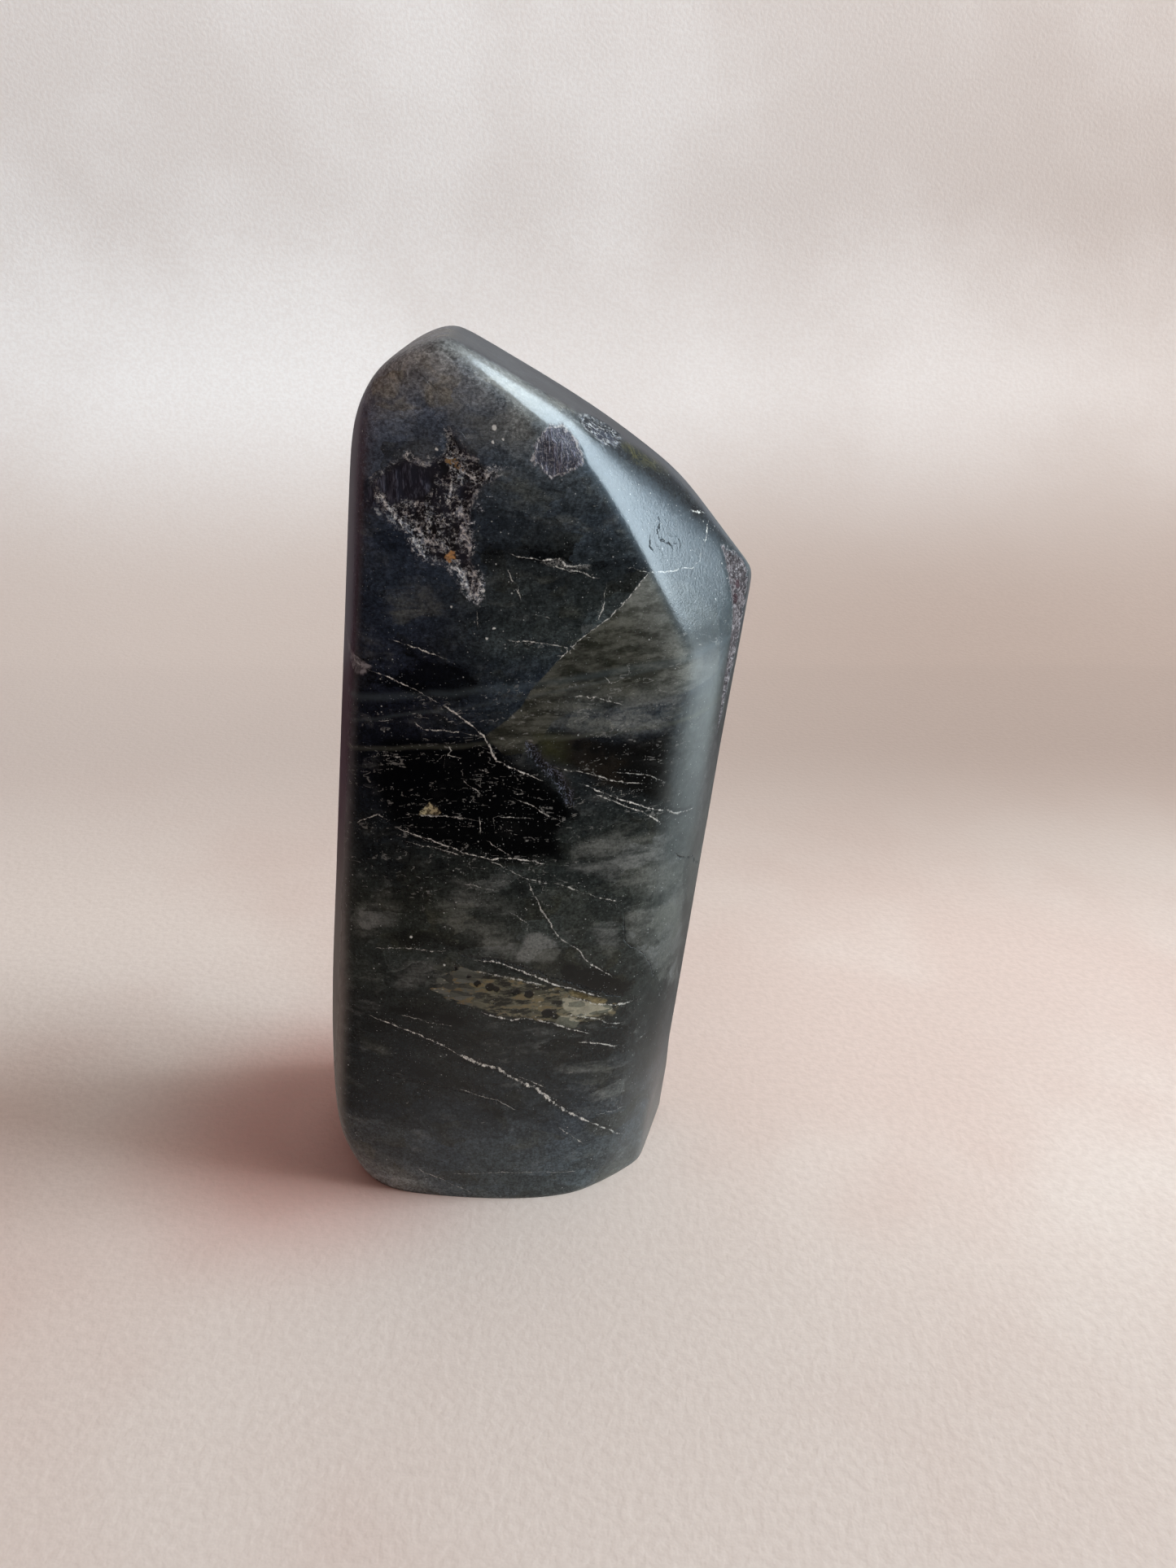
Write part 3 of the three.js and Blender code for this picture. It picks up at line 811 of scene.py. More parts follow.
# %% Zones from foot to peak
wavering = height + (medium - 0.5) * 10
# The light stops at the peak and at the foot are painted reflection: the peak shows the light above it, the
# rounded foot the pale paper.
middle_zones = by_height(wavering, {
    0: (7.4, 9.4, 9.8), 5: (6.2, 8, 8.8), 11: (5.4, 7, 8.2), 17: (2.4, 3.2, 3.6), 26: (1, 1.4, 1.4),
    34: (2.2, 2.7, 2.3), 45: (3.6, 4.4, 3.9), 55: (2.4, 3, 2.8), 66: (1.2, 1.5, 1.8), 74: (2.4, 3.5, 4.8),
    80: (4.2, 5.4, 5.4), 87: (2.2, 2.8, 3), 93: (3.4, 4.5, 5.4), 99: (6.5, 8.2, 9.4), 106: (27, 29, 28),
})
left_zones = by_height(wavering, {
    0: (26, 29, 28), 6: (7, 8.6, 8.8), 14: (1.4, 2, 2.4), 30: (1, 1.3, 1.3), 38: (2.8, 3.6, 3.2),
    46: (2.6, 3.2, 2.6), 54: (1.2, 1.6, 1.8), 64: (0.4, 0.5, 0.9), 76: (1.4, 1.8, 3), 86: (2.6, 3.8, 5.8),
    95: (3, 4.2, 6.4), 103: (9.6, 12.4, 17), 108: (28, 30, 30),
})
ground = blend(rise(across_stone - height * 0.12 + (small - 0.5) * 4, -10, -20), middle_zones, left_zones)
mottling = (0.62 + 0.5 * crystal_tone + 0.22 * grains) * (0.7 + 0.6 * rise(small, 0.3, 0.7))
frost = rise(clouds(shaken(turned(place, 25, (0.6, 1, 1.6)), 1.5, 0.3), 4.5, 3, 0.7), 0.5, 0.68)
ground = lit(ground, mottling * (0.54 + 0.6 * rise(tiny, 0.35, 0.65) + 0.75 * frost))
ground = wash(rise(crystal_tint, 0.55, 0.8), ground, (0.97, 1.0, 1.05))
ground = wash(rise(crystal_tint, 0.4, 0.15) * rise(medium, 0.45, 0.6), ground, (1.08, 1.0, 0.86))
print("zones and mottling done")

# %% [markdown]
# ## The beds
#
# Every bed is a stored distance. A little noise added to it frays the edge before a step turns it into a
# mask, and inside the mask the bed has tones of its own.

# %% Clouds, olive, brown and black
fray = (medium - 0.5) * 3 + (small - 0.5) * 1.5
wisps = clouds(shaken(turned(place, -28, (0.3, 0.6, 1)), 0.6, 0.6), 0.55, 4, 0.62)
angular = (crystal_tone - 0.5) * 0.35 + (grains - 0.5) * 0.2 + (wisps - 0.5) * 2.2
pale = rise(layer("patches") + angular, 0.05, 1.5)
gloom = rise(layer("patches") + angular * 0.6, -0.15, -0.8)
cloud_tone = between(crystal_tint, 0.2, 0.8, percent(14, 15, 13.4), percent(18.5, 19.8, 19))
cloud_light = 0.3 + 0.9 * wisps + 0.25 * crystal_tone + 0.3 * frost
ground = blend(pale * (0.6 + 0.4 * rise(tiny, 0.35, 0.6)), ground, lit(cloud_tone, cloud_light))
ground = lit(ground, 1 - gloom * 0.75)
ground = lit(ground, 1 - rise(layer("shady"), 0.2, 0.8) * 0.7)

olive = rise(layer("olive") + (small - 0.5) * 0.4, -0.08, 0.14)
olive = olive * (1 - rise(across_stone, 3, 7) * rise(height + fray, 75, 70))
# Under the crown's painted sheen the olive bed fades.
olive = olive * (1 - rise(layer("crown"), 0.2, 0.8) * 0.6)
olive_streaks = clouds(turned(place, -12, (0.35, 0.6, 1.1)), 0.8, 4, 0.65)
olive_dark = between(olive_streaks, 0.38, 0.62, percent(2.8, 3, 2.1), percent(10.6, 11, 9))
olive_pale = between(olive_streaks, 0.38, 0.6, percent(13, 14, 12.6), percent(25, 27, 25))
olive_tone = between(across_stone + height * 0.5 + (medium - 0.5) * 8, 50, 59, olive_dark, olive_pale)
ground = blend(olive * 0.92, ground, lit(olive_tone, 0.3 + 0.7 * tiny + 0.4 * crystal_tone + 0.3 * frost))

brown = rise(layer("brown") + fray * 0.5, -0.8, 1.2)
brown_tone = between(medium, 0.42, 0.62, percent(0.3, 0.25, 0.15), percent(1.3, 1, 0.6))
green_corner = rise(across_stone + (small - 0.5) * 3, 7, 3) * rise(height, 63, 65)
green_tone = lit(blend(small, percent(2.5, 2.7, 1), percent(8, 8.4, 3.4)), 0.3 + tiny)
ground = blend(brown * 0.85, ground, blend(green_corner, brown_tone, green_tone))

black = rise(layer("black") + fray * 0.9, -1.0, 1.2)
ground = lit(ground, 1 - black * 0.95)
print("beds done")

# %% [markdown]
# ## The golden lens
#
# Low on the front a flat lens of another feldspar was cut open. It is a muddy olive with a thin golden
# strip, greyer to the left, and sown with black pits. At its right end clear crystals show as pale patches.

# %% The lens
lens_place = turned(place, 18, (0.6, 1, 1.6))
lens_noise = clouds(lens_place, 0.8, 4, 0.7)
lens_grains = luck(cells(shaken(lens_place, 0.8, 0.3), 0.9), "X")
lens = rise(layer("lens") + fray * 0.3 + (lens_grains - 0.5) * 0.7, -0.12, 0.2)
lens_tone = between(lens_noise, 0.42, 0.58, percent(1.6, 1.6, 1.1), percent(14, 14, 9.6))
lens_left = rise(across_stone + (lens_noise - 0.5) * 8, -4, -8)
lens_tone = blend(lens_left, lens_tone, percent(7.6, 8.2, 7))
lens_rust = rise(lens_noise, 0.5, 0.56) * rise(lens_grains, 0.5, 0.7)
lens_tone = blend(lens_rust * 0.6, lens_tone, percent(12, 8, 2.6))
ground = blend(lens * 0.92, ground, lit(lens_tone, 0.3 + 1.3 * lens_grains + 0.5 * tiny))
lens_cells = cells(lens_place, 1.8)
lens_glints = rise(lens_cells, 0.24, 0.1) * rise(luck(lens_cells, "Y"), 0.62, 0.7)
ground = blend(lens * lens_glints * 0.7, ground, percent(56, 54, 42))
print("lens done")

# %% Crystals, gold and pits
crystal_ends = rise(layer("crystals") + (small - 0.5) * 0.4, -0.06, 0.14)
crystal_end_tone = between(lens_grains, 0.3, 0.6, percent(14, 15.4, 12), percent(38, 37, 28))
ground = blend(crystal_ends * 0.92, ground, lit(crystal_end_tone, 0.5 + tiny))
strip = rise(layer("gold") + fray * 0.15, -0.1, 0.3)
strip_tone = between(lens_noise, 0.4, 0.6, percent(12, 9, 3), percent(30, 25, 12))
ground = blend(strip * 0.85, ground, lit(strip_tone, 0.4 + tiny))
placed_pits = rise(layer("pits") + (small - 0.5) * 0.5, -0.12, 0.08)
ground = lit(ground, 1 - placed_pits * 0.93)
slope_gold = rise(layer("slope gold") + fray * 0.4, -0.5, 0.9)
slope_gold_tone = between(small, 0.42, 0.6, percent(2, 2.6, 1.6), percent(9, 8.6, 3))
ground = blend(slope_gold * 0.8, ground, slope_gold_tone)
print("crystals, gold and pits done")

# %% [markdown]
# ## Satin bevels
#
# The wheel's fine scratches lie over the bevels like a haze and hide the beds under them. Over the haze
# the colour also carries painted light: a bluish painted sheen where the facet looks up to the window, a
# grey painted reflection with a little lilac along the left side, and painted shade on the right side.

# %% Satin haze and painted sheen over the bevels
# Partly satin haze, partly painted sheen: lighter and bluish where the bevels face the window.
bevel_satin_and_sheen_tone = by_height(height + (medium - 0.5) * 20, {
    0: (9.6, 9.8, 9), 14: (6.2, 6.6, 6), 30: (2, 2.4, 2.3), 45: (4.8, 5.6, 5.2), 60: (6, 7, 6.6),
    70: (9.4, 11.2, 10.6), 80: (8.2, 10.6, 11.6), 88: (6.5, 8.6, 10.5), 96: (3, 3.6, 4.4), 104: (4.4, 5, 6),
})
bevel_satin_and_sheen_tone = lit(bevel_satin_and_sheen_tone, 0.6 + 0.8 * small)
satin_and_sheen = rise(layer("sunlit") + (small - 0.5) * 0.3, 0.05, 1.0) * (0.4 + 0.45 * rise(height, 45, 66))
ground = blend(satin_and_sheen, ground, bevel_satin_and_sheen_tone)
# The crown's bevels are painted bluish, and light at the peak: painted sheen of the window.
crown_sheen_tone = by_height(height, {
    78: (5, 6.6, 7.4), 92: (7, 10, 12.6), 100: (8, 11, 13.4), 105: (29, 31, 30),
})
ground = blend(rise(layer("crown"), 0.25, 0.9) * (0.4 + 0.5 * small), ground, crown_sheen_tone)
# Along the left side a painted reflection: grey at the foot, lilac higher up, dark red near the top.
left_reflection_tone = by_height(height + (medium - 0.5) * 16, {
    0: (22, 22, 20), 25: (28, 26, 24), 45: (17, 15.6, 15), 62: (8, 6.8, 8.6), 80: (6, 4, 5.4),
    98: (5.6, 2, 2.6),
})
low_left = 1 - rise(height, 30, 50)
left_reflection = rise(layer("left") + low_left * 0.15, 0.25, 0.85)
ground = blend(left_reflection * 0.8, ground, lit(left_reflection_tone, 0.7 + 0.6 * small))
# The right side is painted darker and mottled, more so higher up: painted shade.
right_side_shade = rise(layer("right"), 0.4, 0.9) * (0.2 + 0.4 * rise(height, 45, 66))
ground = blend(right_side_shade, ground, between(small, 0.42, 0.6, percent(1.4, 1.1, 1.1), percent(6, 5.4, 5.6)))
print("haze done")

# %% [markdown]
# ## Cracks and ticks
#
# A healed crack is a thread of white feldspar. It glitters in short dashes rather than as an even line,
# because it was plucked here and there by the wheel. Beside the cracks the rock is sown with short white
# ticks, most of them slanted the same way, and with dots.

# %% Lines drawn from the stored distances
wobble = (clouds(place, 0.7, 3) - 0.5) * 0.7 + (clouds(place, 4, 2) - 0.5) * 0.22
dash = rise(clouds(turned(place, 20, (1, 1, 0.6)), 1.6, 3, 0.75), 0.4, 0.6)
fleck = rise(clouds(place, 5, 2, 0.6), 0.38, 0.62)


def thread(name, soft):
    """Two masks of one group of cracks: wandering lines that come and go, and what lies near them."""
    wide = layer(name + " width")
    beside = abs(layer(name + " side") + wobble)
    line = rise((wide * (0.1 + 0.6 * dash) - beside) / soft, -0.5, 0.6) * rise(wide, 0.01, 0.04)
    line = line * (0.25 + 0.75 * dash) * (0.5 + 0.5 * fleck)
    return line, rise(beside, 1.4, 0.1) * rise(wide, 0.02, 0.08)


bold, near_bold = thread("bold", 0.07)
fine, near_fine = thread("fine", 0.07)
finer, near_finer = thread("finer", 0.07)
dark_lines, _ = thread("dark", 0.14)
near = near_bold.at_least(near_fine).at_least(near_finer)
print("threads done")

# %% Hair veins and ticks
vein_zone = rise(abs(height - across_stone * 0.25 - 62), 20, 8) * 0.8 + near * 0.5
hair_place = turned(shaken(place, 0.5, 0.3), 18, (0.2, 0.4, 0.8))
hair_noise = clouds(hair_place, 0.5, 3, 0.6)
hairs = rise(abs(hair_noise - 0.5), 0.012, 0.003) * rise(dash + vein_zone * 0.8, 1.25, 1.5)


def ticks_of(degrees, stretch, share):
    """Short slanted white marks in about this share of the cells."""
    cell = cells(turned(shaken(place, 0.6, 0.3), degrees, stretch), 1.0)
    chosen = rise(luck(cell, "X") + vein_zone * 0.07, 1 - share, 1.05 - share)
    return rise(cell / (0.3 + 0.7 * luck(cell, "Y")), 0.2, 0.08) * chosen


ticks = ticks_of(18, (0.5, 0.9, 2.6), 0.04).at_least(ticks_of(12, (1.2, 1.4, 4.0), 0.07) * 0.8)
ticks = ticks.at_least(ticks_of(-50, (0.9, 1.4, 3.4), 0.02) * 0.8)
print("ticks done")

# %% Dots, dust and sparkle
dot_cells = cells(place, 1.3)
dots = rise(dot_cells / (0.2 + luck(dot_cells, "X") * 0.8), 0.17, 0.08)
dots = dots * rise(luck(dot_cells, "Y") + near * 0.2, 0.7, 0.78)
dust_cells = cells(place, 3.6)
dust = rise(dust_cells, 0.26, 0.12) * rise(luck(dust_cells, "X") + near * 0.25, 0.84, 0.95)
sparkle_cells = cells(place, 2.2)
sparkle = rise(sparkle_cells, 0.2, 0.07) * rise(luck(sparkle_cells, "Y"), 0.6, 0.95)
# The largest dots were placed one by one: across and up the front, and radius.
LARGE_DOTS = [
    (-1.2, 101.7, 0.31), (-1.4, 100.3, 0.17), (-0.4, 100.6, 0.16), (-7, 99.6, 0.18), (-3, 85.3, 0.27),
    (-6.4, 83.5, 0.15), (-2, 81.2, 0.18), (-2.8, 80.1, 0.18), (-13.4, 41.8, 0.2), (-9.6, 38, 0.2),
]
flat_sockets = {"X": across_stone + depth * SLANT_ACROSS, "Z": height + depth * SLANT_UP}
flat_place = shaken(rock.node("ShaderNodeCombineXYZ", {}, flat_sockets), 2.5, 0.08)
placed_dots = [spot(flat_place, (along, 0, up), radius) for along, up, radius in LARGE_DOTS]
large_dots = reduce(Wire.at_least, placed_dots) * rise(depth, 6, 4)
print(len(LARGE_DOTS), "large dots")

# %% Soft rays under the polish


def ray(slope, at_height, spread):
    """A long soft band of light across the front, rising or falling with X."""
    off = abs(height - across_stone * slope - at_height + (broad - 0.5) * 3)
    return rise(off, spread, 0.0) * rise(depth, 12, 6) * (0.4 + medium)


# Each ray: its slope, its height on the middle line, its spread, its strength and its tone.
RAYS = [
    (0.1, 74.5, 0.8, 0.25, (12, 16, 18)),
    (0.06, 67.8, 0.5, 0.3, (13, 14, 11)),
    (0.16, 73, 0.4, 0.2, (12, 15, 16)),
]
for slope, at_height, spread, strength, tone in RAYS:
    ground = blend(ray(slope, at_height, spread) * strength, ground, percent(*tone))
print(len(RAYS), "rays")

# %% Painting the lines on the rock
# Pale marks on the facets that face the window are painted darker: painted shade against the window's light.
sunlit_marks_shade = 1 - rise(layer("sunlit"), 0.1, 0.8) * 0.6
ground = lit(ground, 1 - dark_lines * 0.8)
ground = lit(ground, 1 - rise(near_bold, 0.55, 0.9) * 0.3)
for mask, tone in [
    (dust * 0.7 * sunlit_marks_shade, (26, 29, 29)),
    (dots * 0.8 * sunlit_marks_shade, (50, 53, 52)),
    (large_dots, (72, 76, 74)),
    (ticks * 0.6 * sunlit_marks_shade, (46, 47, 44)),
    (hairs * 0.35 * sunlit_marks_shade, (38, 39, 37)),
    (finer * 0.9 * sunlit_marks_shade, (72, 74, 70)),
    (fine * 0.9 * sunlit_marks_shade, (78, 79, 74)),
    (bold * sunlit_marks_shade, (88, 89, 84)),
    (sparkle * rise(layer("sunlit") + layer("crown"), 0.2, 0.8) * 0.55, (58, 62, 60)),
]:
    ground = blend(mask, ground, percent(*tone))
slivers = rise(layer("slivers") + (small - 0.5) * 0.6, -0.2, 0.2)
ground = blend(slivers * fleck * 0.45, ground, percent(34, 34, 32))
print("lines painted")

# %% [markdown]
# ## The crusts
#
# Where the wheel didn't reach, the rock is a sponge of small holes: thin pale ridges with blue-black between
# them, a little rust in two places, and to the left a dark blue face with fine upright scratches. A net of
# random cells gives the ridges, and the longest ones follow lines drawn from the photo. The crust on the
# crown is finer, a lilac-grey face with a thin broken rim.

# %% Where the crusts are
crust_fray = (small - 0.5) * 1.6 + (clouds(place, 2.2, 2) - 0.5) * 0.9
crust = rise(layer("crust") + crust_fray, -0.15, 0.35)
striated = rise(layer("striated") + crust_fray * 0.6, -0.1, 0.3)
scratched = rise(layer("scratched") + (small - 0.5) * 0.8, -0.2, 0.3)
web_place = shaken(place, 0.9, 0.6)
web = net(web_place, 0.8, 0.12, 0.03)
web_small = net(web_place, 1.7, 0.14, 0.03)
print("crusts placed")

# %% Their ridges
near_ridge = layer("ridges width") - abs(layer("ridges side") + (small - 0.5) * 0.9)
specks = rise(near_ridge, -0.3, 0.3) * rise(layer("ridges width"), 0.05, 0.15)
speck_place = shaken(place, 1.4, 0.35)
speck_web = net(speck_place, 1.4, 0.13, 0.04).at_least(net(speck_place, 2.6, 0.15, 0.05) * 0.55)
speck_noise = clouds(place, 1.8, 3, 0.75)
ridge_line = rise(near_ridge, 0.4, 0.56) * rise(speck_noise, 0.4, 0.5)
specks = specks * (speck_web * rise(speck_noise, 0.46, 0.58)).at_least(ridge_line * 0.9)
on_top = rise(depth, 3, 1.5)
ridge_share = rise(clouds(place, 1.2, 3, 0.75) - on_top * 0.06, 0.44, 0.6) * (1 - on_top * 0.5)
ridge = web.at_least(web_small * 0.75) * ridge_share
scratch_noise = clouds(turned(place, 8, (3.2, 3.2, 0.35)), 1, 3, 0.6)
scratches = rise(scratch_noise, 0.46, 0.66)
rim = rise(abs(layer("crust") + crust_fray - 0.3), 0.35, 0.08) * rise(small, 0.48, 0.6)
ridge = (ridge * (1 - scratched * 0.95)).at_least(rim * 0.5).at_least(specks)
print("ridges done")

# %% Tones of the crusts
ridge_tone = between(tiny, 0.4, 0.6, percent(30, 34, 41), percent(94, 97, 97))
hole_tone = between(medium, 0.4, 0.6, percent(0.2, 0.2, 0.5), percent(1.2, 1.4, 2.8))
crust_tone = blend(ridge, hole_tone, ridge_tone)
scratched_tone = blend(scratches, percent(1, 1.2, 2.8), percent(9, 10, 14.5))
crust_tone = blend(scratched * (1 - rim), crust_tone, scratched_tone)
# On the facets that face the window the crust is painted darker: painted shade.
ground = blend(crust, ground, lit(crust_tone, 1 - rise(layer("sunlit"), 0.1, 0.8) * 0.4))
ground = blend(specks, ground, ridge_tone)

striated_rim = rise(abs(layer("striated") - 0.15 + crust_fray * 0.5), 0.22, 0.05) * rise(tiny, 0.42, 0.56)
striated_tone = blend(scratches * 0.8, percent(3.4, 3.6, 5.4), percent(15, 14.5, 20))
striated_tone = blend(striated_rim.at_least(web_small * fleck * 0.35), striated_tone, percent(46, 44, 44))
ground = blend(striated, ground, striated_tone)
# Rusty stains: across and up the front, radius, and tone.
RUST = [(-6.2, 88.7, 0.6, (74, 40, 15)), (-5.7, 98.4, 0.42, (40, 25, 9)), (-5.1, 97.9, 0.4, (36, 21, 8)),
        (-4.5, 97.4, 0.36, (30, 17, 6))]
rust_place = shaken(flat_place, 1.6, 0.4)
for along, up, radius, tone in RUST:
    stain = spot(rust_place, (along, 0, up), radius) * on_top
    ground = blend(stain * (0.3 + tiny), ground, percent(*tone))
print(len(RUST), "rusty stains")

# %% Flakes, wedge and chip
flakes = rise(layer("flakes") + crust_fray, -0.2, 0.5)
flake_web = net(turned(shaken(place, 1.4, 0.35), 40, (1.6, 1.6, 0.7)), 1.3, 0.13, 0.03)
ground = blend(flakes * flake_web * fleck * 0.8, lit(ground, 1 - flakes * 0.7), percent(26, 30, 42))
wedge = rise(layer("wedge") + crust_fray * 0.3, -0.1, 0.3)
ground = blend(wedge * 0.85, ground, between(small, 0.4, 0.6, percent(9, 8.6, 10), percent(30, 30, 32)))
chip = rise(layer("chip") + crust_fray * 0.25, -0.1, 0.15)
chip_tone = between(tiny, 0.45, 0.55, percent(7, 5.5, 2.4), percent(52, 47, 28))
ground = blend(chip * 0.95, ground, chip_tone)
print("flakes, wedge and chip done")

# %% The crust on the right edge
edge_side = rise(across_stone, 20, 23) * crust
edge_tone = between(tiny * 0.6 + small * 0.4, 0.46, 0.58, percent(3, 2, 2.2), percent(22, 20, 21))
EDGE_PITS = [(25.3, -1.8, 82.3), (25.2, -2.4, 80.9), (24.8, -3.3, 78.6), (24.6, -3.2, 75.7)]
PIT_RADIUS = 0.75
for pit in EDGE_PITS:
    edge_tone = blend(spot(shaken(place, 1.2, 0.25), pit, PIT_RADIUS), edge_tone, percent(3.4, 0.9, 1.3))
ground = blend(edge_side, ground, edge_tone)
print(len(EDGE_PITS), "pits in the edge")

# %% [markdown]
# ## Polish and bump
#
# The front is bright, the bevels are satin, and crusts and cracks are dull. Bump carries what is too
# small for the mesh: the ridges of the crusts, the plucked cracks and a faint grain in the satin.

# %% The shader's gloss
rough_places = crust.at_least(striated).at_least(flakes * 0.7).at_least(chip)
satin = layer("satin")
smear = clouds(turned(place, 20, (0.5, 0.5, 0.9)), 0.25, 4)
gloss_rough = 0.13 + satin * 0.22 + (smear - 0.5) * 0.08 + bold * 0.2 + fine * 0.15 + dark_lines * 0.4
roughness = gloss_rough + (0.62 - gloss_rough) * rough_places
grain = clouds(place, 7, 2)
relief = ridge * crust * 0.2 + specks * 0.06 + flakes * flake_web * 0.08
relief = relief + scratches * (striated + crust * scratched) * 0.06
relief = relief + bold * 0.02 - dark_lines * 0.12 - placed_pits * 0.08
relief = relief + satin * grain * 0.006 + layer("crown") * (tiny * 0.02 + grain * 0.004)
bump = relief.node("ShaderNodeBump", {}, {"Height": relief, "Strength": 1.0, "Distance": MM}, "Normal")
FELDSPAR_IOR, POLISH_REFLECTION = 1.56, 0.3
ground.feed(stone_shader, "Base Color")
roughness.feed(stone_shader, "Roughness")
bump.feed(stone_shader, "Normal")
stone_shader.inputs["IOR"].default_value = FELDSPAR_IOR
stone_shader.inputs["Specular IOR Level"].default_value = POLISH_REFLECTION
mesh.materials.append(stone_material)
print("material nodes:", len(stone_material.node_tree.nodes))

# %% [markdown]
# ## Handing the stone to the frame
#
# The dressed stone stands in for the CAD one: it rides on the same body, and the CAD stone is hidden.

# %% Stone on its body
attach(stone, "root")
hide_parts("stone")
print("stone handed to the frame")

# %% [markdown]
# ## The sheet
#
# The stone stands on a pale sheet that rises behind it in a soft fold. Beside the stone the paper is
# painted: a rose painted shadow on the shadow's side and a painted pool of light on the other. Further
# back the floor and the fold, and the wall's right half, are darker by painted shade.

# %% The sheet's shape
SHEET_HALF_WIDTH, SHEET_FRONT, FOLD_START, FOLD_RADIUS, SHEET_TOP = 0.9, -1.2, 0.19, 0.12, 0.5
FOLD_STEPS = 24
profile = [(SHEET_FRONT, 0.0), (-0.3, 0.0), (0.0, 0.0), (FOLD_START, 0.0)]
for step in range(1, FOLD_STEPS + 1):
    turn = pi / 2 * step / FOLD_STEPS
    profile.append((FOLD_START + FOLD_RADIUS * sin(turn), FOLD_RADIUS * (1 - cos(turn))))
profile.append((FOLD_START + FOLD_RADIUS, SHEET_TOP))
sheet_points = [(edge, *point) for point in profile for edge in (-SHEET_HALF_WIDTH, SHEET_HALF_WIDTH)]
sheet_faces = [(2 * i, 2 * i + 1, 2 * i + 3, 2 * i + 2) for i in range(len(profile) - 1)]


def stage_piece(name, points, faces):
    """A mesh of the stage with a material of its own. Returns the object, the tree and the shader."""
    piece_mesh = bpy.data.meshes.new(name)
    piece_mesh.from_pydata(points, [], faces)
    piece_mesh.polygons.foreach_set("use_smooth", [True] * len(faces))
    piece = bpy.data.objects.new(name, piece_mesh)
    bpy.context.scene.collection.objects.link(piece)
    material, tree, shader = new_material(name)
    piece_mesh.materials.append(material)
    return piece, tree, shader


_, paper, paper_shader = stage_piece("pale_sheet", sheet_points, sheet_faces)
print("sheet:", len(sheet_faces), "strips")

# %% The sheet's paper
# Centres of the painted shadow and the painted light on the floor.
PAINTED_SHADOW_AT, PAINTED_LIGHT_AT = (-0.03, 0.0, 0), (0.075, 0.02, 0)
paper_at = paper.node("ShaderNodeTexCoord", {}, {}, "Object")
paper_x, paper_y, paper_z = [part_of(paper_at, axis) for axis in "XYZ"]
mottle = clouds(paper_at, 9, 4)
fibre = clouds(paper_at, 900, 2)
floor_tone = between(mottle, 0.4, 0.62, [0.76, 0.62, 0.55, 1], [0.83, 0.74, 0.67, 1])
# Further back and towards the fold on the right the floor is darker: painted shade.
back_shade_tone = between(paper_x, -0.15, 0.15, [0.6, 0.52, 0.47, 1], [0.44, 0.35, 0.3, 1])
floor_tone = blend(rise(paper_y, 0.03, 0.14), floor_tone, back_shade_tone)
# A rose painted shadow left of the stone, and a painted pool of light to its right.
floor_tone = wash(rise(distance(paper_at, PAINTED_SHADOW_AT), 0.035, 0.008), floor_tone, (0.86, 0.63, 0.61))
floor_tone = wash(rise(distance(paper_at, PAINTED_LIGHT_AT), 0.07, 0.02), floor_tone, (1.14, 1.16, 1.17))
wall_paper = between(mottle, 0.4, 0.62, [0.84, 0.82, 0.8, 1], [0.92, 0.92, 0.91, 1])
# The wall's right half is darker and warmer: painted shade.
wall_paper = wash(rise(paper_x, -0.05, 0.25), wall_paper, (0.8, 0.73, 0.69))
paper_tone = blend(rise(paper_z, 0.0, 0.07), floor_tone, wall_paper)
paper_tone = blend(rise(fibre, 0.35, 0.65) * 0.12, paper_tone, [0.55, 0.44, 0.38, 1])
paper_relief = {"Height": fibre, "Strength": 0.25, "Distance": 0.0003}
paper_bump = fibre.node("ShaderNodeBump", {}, paper_relief, "Normal")
paper_tone.feed(paper_shader, "Base Color")
paper_bump.feed(paper_shader, "Normal")
paper_shader.inputs["Roughness"].default_value = 0.75
paper_shader.inputs["Specular IOR Level"].default_value = 0.2
print("paper nodes:", len(paper.tree.nodes))

# %% [markdown]
# ## What the polish reflects
#
# Polished dark stone shows whatever stands round it. Here three flat cards do that job: a window to the
# right, whose reflection is the bright band on the crown's bevels, a table with a sunny sill, and a wall.
# Lamps could draw the same band, but a card's outline and tones can be chosen freely. Only reflections see
# the cards: they shade nothing, and the camera doesn't see them.

# %% The table card
CARD_LEFT, CARD_RIGHT, CARD_FRONT, CARD_BACK, CARD_LIFT = -0.7, 0.9, -0.9, 0.19, 0.0008
CLEAR_AT, CLEAR_WITHIN, COVERED_BEYOND = (0.01, -0.03, 0), 0.02, 0.06


def reflected_card(name, corners):
    """A flat glowing card that only reflections see, as its material's tree and shader."""
    card, tree, shader = stage_piece(name, corners, [tuple(range(len(corners)))])
    card.visible_camera = card.visible_diffuse = card.visible_shadow = card.visible_transmission = False
    shader.inputs["Base Color"].default_value = (0, 0, 0, 1)
    shader.inputs["Specular IOR Level"].default_value = 0
    shader.inputs["Emission Strength"].default_value = 1
    return tree, shader


floor_card, floor_glow = reflected_card("floor_card", [
    (CARD_LEFT, CARD_FRONT, CARD_LIFT), (CARD_RIGHT, CARD_FRONT, CARD_LIFT),
    (CARD_RIGHT, CARD_BACK, CARD_LIFT), (CARD_LEFT, CARD_BACK, CARD_LIFT),
])
card_at = floor_card.node("ShaderNodeTexCoord", {}, {}, "Object")
card_x, card_y = part_of(card_at, "X"), part_of(card_at, "Y")
left_tone = between(card_y, 0.04, 0.1, [0.17, 0.145, 0.13, 1], [0.085, 0.045, 0.055, 1])
table_tone = blend(rise(card_x, 0.02, -0.04), [0.24, 0.22, 0.21, 1], left_tone)
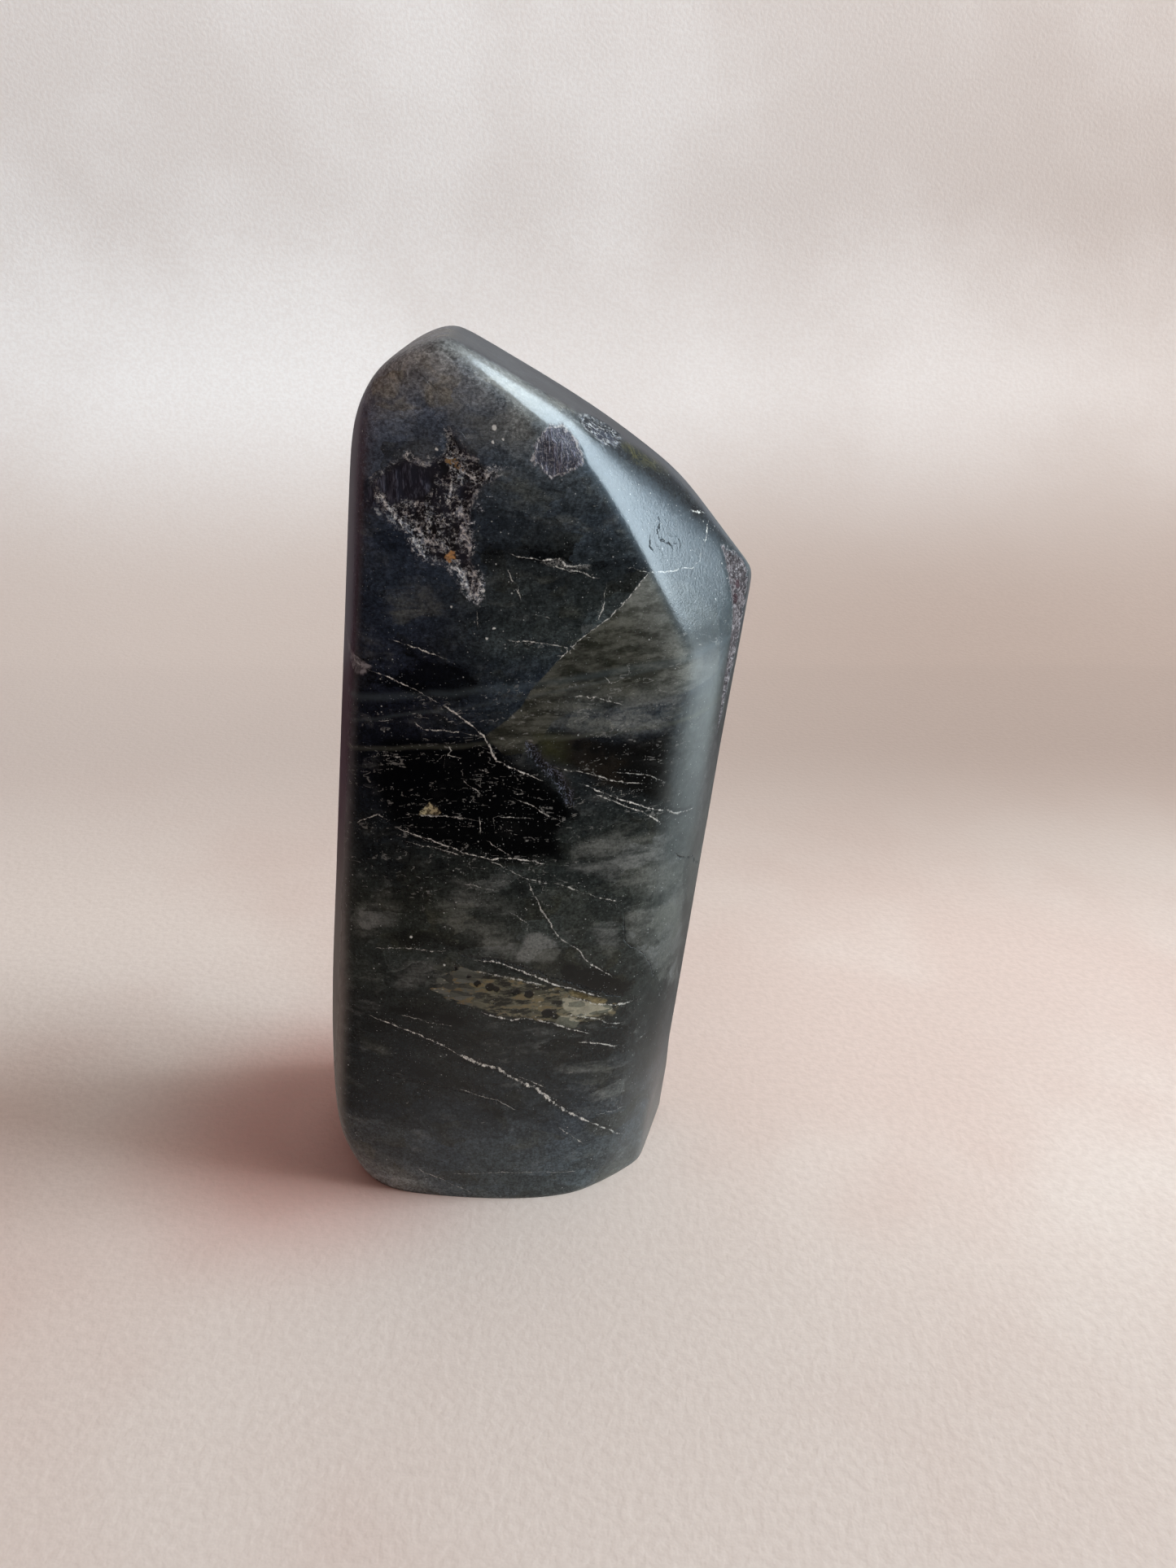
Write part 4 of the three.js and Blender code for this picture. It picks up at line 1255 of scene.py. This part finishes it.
# Dark in front of the stone and behind it to the right: painted shade in the reflections.
table_tone = blend(rise(card_y, -0.06, -0.11), table_tone, [0.025, 0.025, 0.03, 1])
table_tone = blend(rise(card_y, 0.06, 0.13) * rise(card_x, 0, 0.05), table_tone, [0.06, 0.045, 0.045, 1])
sill = rise(card_x, 0.055, 0.2) * rise(card_y, -0.1, -0.02) * rise(card_y, 0.11, 0.03)
blend(sill, table_tone, [2.9, 3.3, 3.6, 1]).feed(floor_glow, "Emission Color")
# Close to the stone the card is clear, so that the foot reflects the paper.
rise(distance(card_at, CLEAR_AT), CLEAR_WITHIN, COVERED_BEYOND).feed(floor_glow, "Alpha")
print("table card nodes:", len(floor_card.tree.nodes))

# %% The wall card and the window card
WALL_CARD_Y, WALL_CARD_TOP = 0.19, 0.42
wall_card, wall_glow = reflected_card("wall_card", [
    (CARD_LEFT, WALL_CARD_Y, 0), (CARD_RIGHT, WALL_CARD_Y, 0),
    (CARD_RIGHT, WALL_CARD_Y, WALL_CARD_TOP), (CARD_LEFT, WALL_CARD_Y, WALL_CARD_TOP),
])
wall_at = wall_card.node("ShaderNodeTexCoord", {}, {}, "Object")
wall_tone = between(part_of(wall_at, "X"), 0.0, -0.2, [0.3, 0.28, 0.28, 1], [0.14, 0.12, 0.14, 1])
wall_tone.feed(wall_glow, "Emission Color")

# The window's outline, along Y and up.
WINDOW_X = 1.59
WINDOW_OUTLINE = [(-0.41, 0.1), (0.03, 0.1), (0.13, 0.2), (0.2, 0.32), (0.26, 0.5), (0.33, 0.8), (0.6, 1.15),
                  (1.05, 1.5), (1.05, 2.3), (-0.41, 2.3)]
_, window_glow = reflected_card("window_card", [(WINDOW_X, *point) for point in WINDOW_OUTLINE])
window_glow.inputs["Emission Color"].default_value = (0.77, 0.91, 1, 1)
window_glow.inputs["Emission Strength"].default_value = 13.8
print("window card:", len(WINDOW_OUTLINE), "corners")

# %% [markdown]
# ## Light
#
# Soft daylight: a tall window to the right, a glow from above it, and light sent back by the room onto the
# wall. The lamps are left out of reflections, because the cards already draw those.

# %% Window, ceiling and room light


def area_light(name, radiance, size, at, turn, colour):
    """A soft rectangular light that neither the camera nor reflections see. Its size is before the turn."""
    light = bpy.data.lights.new(name, "AREA")
    light.shape = "RECTANGLE"
    light.size, light.size_y = size
    light.energy = radiance * pi * size[0] * size[1]
    light.color = colour
    made = bpy.data.objects.new(name, light)
    made.location = at
    made.rotation_euler = [radians(angle) for angle in turn]
    made.visible_camera = made.visible_glossy = False
    bpy.context.scene.collection.objects.link(made)


area_light("window", 10.5, (1.75, 0.62), (1.6, -0.1, 0.9), (0, 90, 0), (0.78, 0.91, 1.0))
area_light("skylight", 4.3, (0.9, 0.9), (1.2, -0.1, 1.3), (0, 43, 0), (1.0, 0.95, 0.91))
area_light("wall_light", 5.2, (1.8, 0.3), (-0.2, -0.1, 0.75), (100, 0, 0), (0.97, 0.99, 1.0))

# %% The room beyond
room = bpy.data.worlds.new("room")
room.use_nodes = True
bpy.context.scene.world = room
air = Wire(room.node_tree)
toward = air.node("ShaderNodeTexCoord", {}, {}, "Generated")
room_tone = between(part_of(toward, "X"), 0.2, -0.7, [0.22, 0.2, 0.19, 1], [0.17, 0.085, 0.08, 1])
to_camera = air.node("ShaderNodeLightPath", {}, {}, "Is Camera Ray")
blend(to_camera, room_tone, [0.66, 0.62, 0.59, 1]).feed(room.node_tree.nodes["Background"], "Color")
bpy.context.scene.view_settings.view_transform = "Standard"
print("light and room set")

# %% [markdown]
# ## The camera
#
# The photo was taken by hand from close above. The stone's outline and its straight creases fix the lens:
# 27 mm on a 36 mm frame's long side, looking down by 26.5 degrees.

# %% Camera at the photo's angle
CAMERA_AT = (0.00795, -0.133, 0.1221)
LOOKS_DOWN = 26.5
camera_lens = bpy.data.cameras.new("photo_camera")
camera_lens.sensor_width, camera_lens.lens = 36, 27.05
camera_lens.clip_start = 0.005
camera = bpy.data.objects.new("photo_camera", camera_lens)
camera.location = CAMERA_AT
camera.rotation_euler = (radians(90 - LOOKS_DOWN), 0, 0)
bpy.context.scene.collection.objects.link(camera)
bpy.context.scene.camera = camera
print("camera looks down by", LOOKS_DOWN, "degrees")
